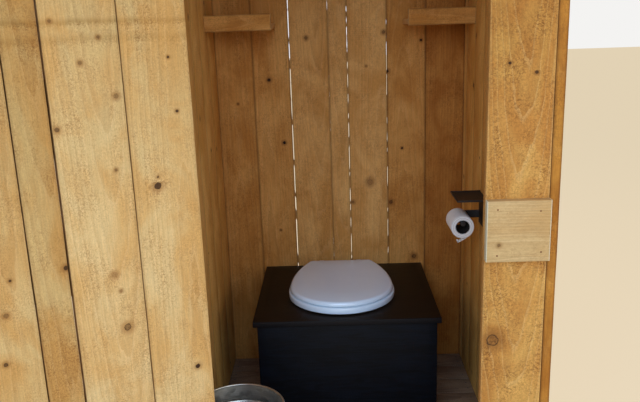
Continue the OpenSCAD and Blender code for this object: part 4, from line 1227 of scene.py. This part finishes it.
def tissue():
    """Wound tissue paper, with its layers as rings round the rod."""
    material = bpy.data.materials.new("white_tissue_paper")
    tree = new_tree(material)
    place = add(tree, "TexCoord", out="Object")
    x, _, z = add(tree, "SeparateXYZ", {0: place}).node.outputs[:3]
    x = add(tree, "Math", {0: x, 1: ROD_X * MM}, operation="SUBTRACT")
    z = add(tree, "Math", {0: z, 1: ROLL_Z * MM}, operation="SUBTRACT")
    flat = add(tree, "CombineXYZ", {0: x, 1: z})
    reach = add(tree, "VectorMath", {0: flat}, out="Value", operation="LENGTH")
    uneven = add(tree, "TexNoise", {"Vector": place, "Scale": 60, "Detail": 2})
    reach = add(tree, "Math", {0: uneven, 1: 0.0015, 2: reach}, operation="MULTIPLY_ADD")
    layers = add(tree, "Math", {0: reach, 1: 2 * math.pi / (LAYER_MM * MM)}, operation="MULTIPLY")
    layers = add(tree, "Math", {0: layers}, operation="SINE")
    crepe = add(tree, "TexNoise", {"Vector": place, "Scale": CREPES_PER_M, "Detail": 4,
                                   "Roughness": 0.7})
    relief = add(tree, "Math", {0: layers, 1: 0.18, 2: crepe}, operation="MULTIPLY_ADD")
    shade = add(tree, "MapRange", {0: layers, 1: -1, 2: 0, 3: 0.72, 4: 1})
    colour = add(tree, "VectorMath", {0: linear("#fcfaf2")[:3], "Scale": shade}, operation="SCALE")
    bump = add(tree, "Bump", {"Height": relief, "Distance": 0.35 * MM, "Strength": 1})
    shader = add(tree, "BsdfPrincipled", {"Base Color": colour, "Roughness": 0.95,
                                          "Sheen Weight": 0.2, "Specular IOR Level": 0.2,
                                          "Normal": bump})
    add(tree, "OutputMaterial", {"Surface": shader})
    return material


paper = tissue()
# Recycled card: grey-brown, matt and in the tube's shade nearly black
card = plain_metal("grey_card_tube", "#29231e", "#1c1814", 0.0, 0.85, 0.1, 3, 0.1)
print("paper and card:", paper.name, card.name)

# %% Roll and tube
lie_back = Matrix.Rotation(math.radians(90), 3, "X")
roll_at = (ROD_X, ROLL_Y1, ROLL_Z)
work = bmesh.new()
layers = [(CORE_R + 1.2, 0.4), (CORE_R + 6, 0.3), (ROLL_R - 5, 0), (ROLL_R - 1, 0.3),
          (ROLL_R, 1.6)]
layers += [(ROLL_R - 0.5 * math.sin(math.pi * k / 8), ROLL_L * k / 8) for k in range(1, 8)]
layers += [(r, ROLL_L - h) for r, h in reversed(layers[:5])]
skin(work, turned(layers, roll_at, lie_back, 96), closed=True)
roll = finish_piece(work, "paper_roll_wound", paper, "paper_roll", crease=40)
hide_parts("paper_roll")

work = bmesh.new()
tube = [(CORE_R, 0), (CORE_R + 1.3, 0), (CORE_R + 1.3, ROLL_L), (CORE_R, ROLL_L)]
skin(work, turned(tube, roll_at, lie_back, 64), closed=True)
finish_piece(work, "card_tube", card, "paper_roll", crease=40)
print("roll:", len(roll.data.polygons), "faces")

# %% Path of the tail
# Millimetres beside and above the rod; a smooth curve runs through them, six steps to each
TAIL = [(31.0, -21.5), (24.5, -28.0), (15, -35), (4, -42), (-5, -47.2), (-10.5, -50.2),
        (-15, -51), (-17.2, -48.2), (-15.5, -45.4), (-12.8, -46.2)]
STEPS = 6
smooth = []
for i in range(len(TAIL) - 1):
    before, here, after, beyond = (Vector(TAIL[min(max(i + k, 0), len(TAIL) - 1)])
                                   for k in (-1, 0, 1, 2))
    for step in range(STEPS):
        t = step / STEPS
        smooth.append(0.5 * (2 * here + (after - before) * t
                             + (2 * before - 5 * here + 4 * after - beyond) * t * t
                             + (3 * here - before - 3 * after + beyond) * t ** 3))
print("tail:", len(smooth), "rows")

# %% Sheet of the tail
ACROSS, TAIL_W, HALF_SHEET = 14, 30, 0.18
last = len(smooth) - 1
work = bmesh.new()
grid = []
for side in (HALF_SHEET, -HALF_SHEET):
    sheet = []
    for i, point in enumerate(smooth):
        ahead = (smooth[min(i + 1, last)] - smooth[max(i - 1, 0)]).normalized()
        normal = Vector((-ahead.y, ahead.x)) * side
        free = i / last
        row = []
        for k in range(ACROSS + 1):
            y = ROLL_Y1 - ROLL_L + 1 + TAIL_W * (1 - 0.55 * free) * k / ACROSS
            ripple = free * free * 1.6 * math.sin(k * 0.55 + 2.2 * free)
            torn = 0.7 * math.sin(k * 2.9) if i == last else 0
            x, z = point + normal + ahead * torn
            row.append(work.verts.new(Vector((ROD_X + x, y, ROLL_Z + z - ripple)) * MM))
        sheet.append(row)
    grid.append(sheet)
upper, lower = grid
for i in range(last):
    for k in range(ACROSS):
        work.faces.new((upper[i][k], upper[i][k + 1], upper[i + 1][k + 1], upper[i + 1][k]))
        work.faces.new((lower[i][k], lower[i + 1][k], lower[i + 1][k + 1], lower[i][k + 1]))
    for k in (0, ACROSS):
        work.faces.new((upper[i][k], upper[i + 1][k], lower[i + 1][k], lower[i][k]))
for i in (0, last):
    for k in range(ACROSS):
        work.faces.new((upper[i][k], upper[i][k + 1], lower[i][k + 1], lower[i][k]))
tail = finish_piece(work, "paper_tail", paper, "paper_roll", crease=60)
print("tail:", len(tail.data.polygons), "faces")

# %% [markdown]
# The door knob
#
# The knob sits on the hidden outer face of the door: a small turned piece with a foot, a neck
# and a ball, from the same pine, rubbed smooth by hands. Turning it from a profile gives it a
# round waist that the plain solid only hints at. It has no board round it, so its wood is a
# recipe of its own, with long fibres drawn from stretched noise.

# %% Where the door hangs and has its ledges
# The door is built shut and swung open about its pins, so the same is done to what sits on it
PIN_X, DOOR_PIN_Y, DOOR_OPEN = -353, -550.3, 147
swing_open = Matrix.Translation((PIN_X, DOOR_PIN_Y, 0))
swing_open @= Matrix.Rotation(math.radians(-DOOR_OPEN), 4, "Z")
swing_open @= Matrix.Translation((-PIN_X, -DOOR_PIN_Y, 0))
FRONT_Y, FLOOR_Z, LEDGE_T, LEDGE_W = -543, 202, 22, 140
LEDGE_X0, LEDGE_X1, LEDGE_HEIGHTS = -289, 297, (170, 779, 1560)
print("door stands open at", DOOR_OPEN, "degrees")

# %% Knob
# Pine turned with the grain along the axis: fibres of 6 mm by 56 mm, and a dull polish
TURNED_WAVES = (160, 160, 18)
knob_pine = bpy.data.materials.new("hand_polished_turned_pine")
tree = new_tree(knob_pine)
place = add(tree, "TexCoord", out="Object")
grain = add(tree, "VectorMath", {0: place, 1: TURNED_WAVES}, operation="MULTIPLY")
grain = add(tree, "TexNoise", {"Vector": grain, "Scale": 1, "Detail": 4, "Distortion": 0.5})
share = add(tree, "MapRange", {0: grain, 1: 0.35, 2: 0.65})
colour = add(tree, "Mix", {0: share, 6: linear("#c99f63"), 7: linear("#9c7040")}, out=2,
             data_type="RGBA")
bump = add(tree, "Bump", {"Height": grain, "Distance": 0.15 * MM, "Strength": 1})
shader = add(tree, "BsdfPrincipled", {"Base Color": colour, "Roughness": 0.45, "Normal": bump})
add(tree, "OutputMaterial", {"Surface": shader})

KNOB_R, KNOB_IN = 19, 60
out_of_door = Matrix.Rotation(math.radians(90), 3, "X")
knob_at = Vector((LEDGE_X1 - KNOB_IN, FRONT_Y - LEDGE_T,
                  FLOOR_Z + LEDGE_HEIGHTS[1] + LEDGE_W / 2))
ball_h = KNOB_R / 4 + KNOB_R * 0.7 + KNOB_R * 0.8
profile = [(0, 0)] + [(KNOB_R * share, height) for share, height in (
    (0.85, 0), (0.85, 3.4), (0.8, 4.6), (0.6, 6.5), (0.48, 10), (0.46, 13), (0.52, 15.5))]
profile += arc(0, ball_h, KNOB_R, -56, 84, 16) + [(0, ball_h + KNOB_R)]
work = bmesh.new()
skin(work, [[swing_open @ p for p in ring] for ring in turned(profile, knob_at, out_of_door, 48)])
knob = finish_piece(work, "door_knob_turned", knob_pine, "door_knob", crease=50)
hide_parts("door_knob")
print("knob:", len(knob.data.polygons), "faces")

# %% [markdown]
# Nails and screws
#
# Small heads tell the eye how the hut is held together. They are joined into one mesh for the
# hut, one for the door and one each for the hinges' screws. A bought nail pulls the wood in a
# little; here each head stands two thirds of a millimetre proud.

# %% Heads


def heads(name, places, radius, rise, material, node):
    """Domed heads at places with their outward directions, as one piece beside a node."""
    work = bmesh.new()
    profile = [(0, -1), (radius, -1), (radius, 0.3 * rise), (radius * 0.8, 0.8 * rise),
               (radius * 0.4, rise), (0, rise)]
    for place, out in places:
        aim = Vector(out).to_track_quat("Z", "Y").to_matrix()
        skin(work, turned(profile, place, aim, 12))
    finish_piece(work, name, material, node, crease=50)
    print(name, len(places))


def board_spans(node):
    """Lowest and highest corners of a node's boards, in millimetres."""
    spans = []
    for part in separate(clean_copy(node)):
        points = [v.co / MM for v in part.verts]
        part.free()
        spans.append([[f(p[i] for p in points) for i in range(3)] for f in (min, max)])
    return spans


def two_across(low, high):
    """Places for two nails side by side on a board, a quarter in from its edges."""
    return [low + (high - low) * share for share in (0.25, 0.75)]


# %% Nails of the hut
# The head of a nail is 7.2 mm wide and stands 0.6 mm proud; the block's are smaller
ROOF_FALL, HUT_DEPTH, ROOF_FRONT_Z = 240, 1086, 2342
RIM_Z, HEADER_NAIL_Z, SIDE_RAIL_DROP, FRONT_RAIL_DROP, FLOOR_RIM_X = 134, 2130, 50, 65, 438
NAIL_R, NAIL_RISE = 3.6, 0.6
BLOCK_NAILS_PX = ((498, 210), (541, 211), (497, 256), (541, 252))


def roof_z(y):
    """Height of the roof's underside at a place from front to back."""
    return ROOF_FRONT_Z - ROOF_FALL / HUT_DEPTH * (y - FRONT_Y)


block_nails = [(seen_at("latch_block", *px) / MM, (0, -1, 0)) for px in BLOCK_NAILS_PX]
heads("block_nails", block_nails, 2.2, 0.3, rusty_nail, "latch_block")

hut_nails = []
for lo, hi in board_spans("back_wall"):
    for x in two_across(lo[0], hi[0]):
        hut_nails += [((x, hi[1], z), (0, 1, 0)) for z in (RIM_Z, roof_z(hi[1]) - SIDE_RAIL_DROP)]
for node, out in (("left_wall", -1), ("right_wall", 1)):
    for lo, hi in board_spans(node):
        x = lo[0] if out < 0 else hi[0]
        for y in two_across(lo[1], hi[1]):
            hut_nails += [((x, y, z), (out, 0, 0)) for z in (RIM_Z, roof_z(y) - SIDE_RAIL_DROP)]
for node in ("front_board_left", "front_board_right", "front_header"):
    foot = HEADER_NAIL_Z if node == "front_header" else RIM_Z
    for lo, hi in board_spans(node):
        for x in two_across(lo[0], hi[0]):
            hut_nails += [((x, lo[1], z), (0, -1, 0))
                          for z in (foot, roof_z(lo[1]) - FRONT_RAIL_DROP)]
for lo, hi in board_spans("floor_boards"):
    for x in (-FLOOR_RIM_X, FLOOR_RIM_X):
        if lo[0] < x < hi[0]:
            hut_nails += [((x, lo[1] + (hi[1] - lo[1]) * share, hi[2]), (0, 0, 1))
                          for share in (0.3, 0.7)]
heads("hut_nails", hut_nails, NAIL_R, NAIL_RISE, nail_steel, "back_wall")

# %% Nails of the door
LEDGE_NAILS, NAIL_IN = 8, 30
face_out = swing_open.to_3x3() @ Vector((0, -1, 0))
door_nails = []
for height in LEDGE_HEIGHTS:
    for i in range(LEDGE_NAILS):
        x = LEDGE_X0 + NAIL_IN + (LEDGE_X1 - LEDGE_X0 - 2 * NAIL_IN) * i / (LEDGE_NAILS - 1)
        z = FLOOR_Z + height + LEDGE_W * (0.28 if i % 2 else 0.72)
        door_nails.append((swing_open @ Vector((x, FRONT_Y - LEDGE_T, z)), face_out))
heads("door_nails", door_nails, NAIL_R, NAIL_RISE, nail_steel, "door_ledges")

# %% Screws of straps and plates
STRAP_ZS, STRAP_SCREW_XS, STRAP_T = (306, 1984), (45, 110, 175, 235), 3
PLATE_SCREW_X, PLATE_SCREW_DZ = -28.5, (-38, 0, 38)
SCREW_R, SCREW_RISE = 4.6, 2.2
strap_screws = [(swing_open @ Vector((PIN_X + x, FRONT_Y - STRAP_T, z)), face_out)
                for z in STRAP_ZS for x in STRAP_SCREW_XS]
heads("strap_screws", strap_screws, SCREW_R, SCREW_RISE, hinge_steel, "hinge_straps")
plate_screws = [((PIN_X + PLATE_SCREW_X, FRONT_Y - STRAP_T, z + dz), (0, -1, 0))
                for z in STRAP_ZS for dz in PLATE_SCREW_DZ]
heads("plate_screws", plate_screws, SCREW_R, SCREW_RISE, hinge_steel, "hinge_plates")
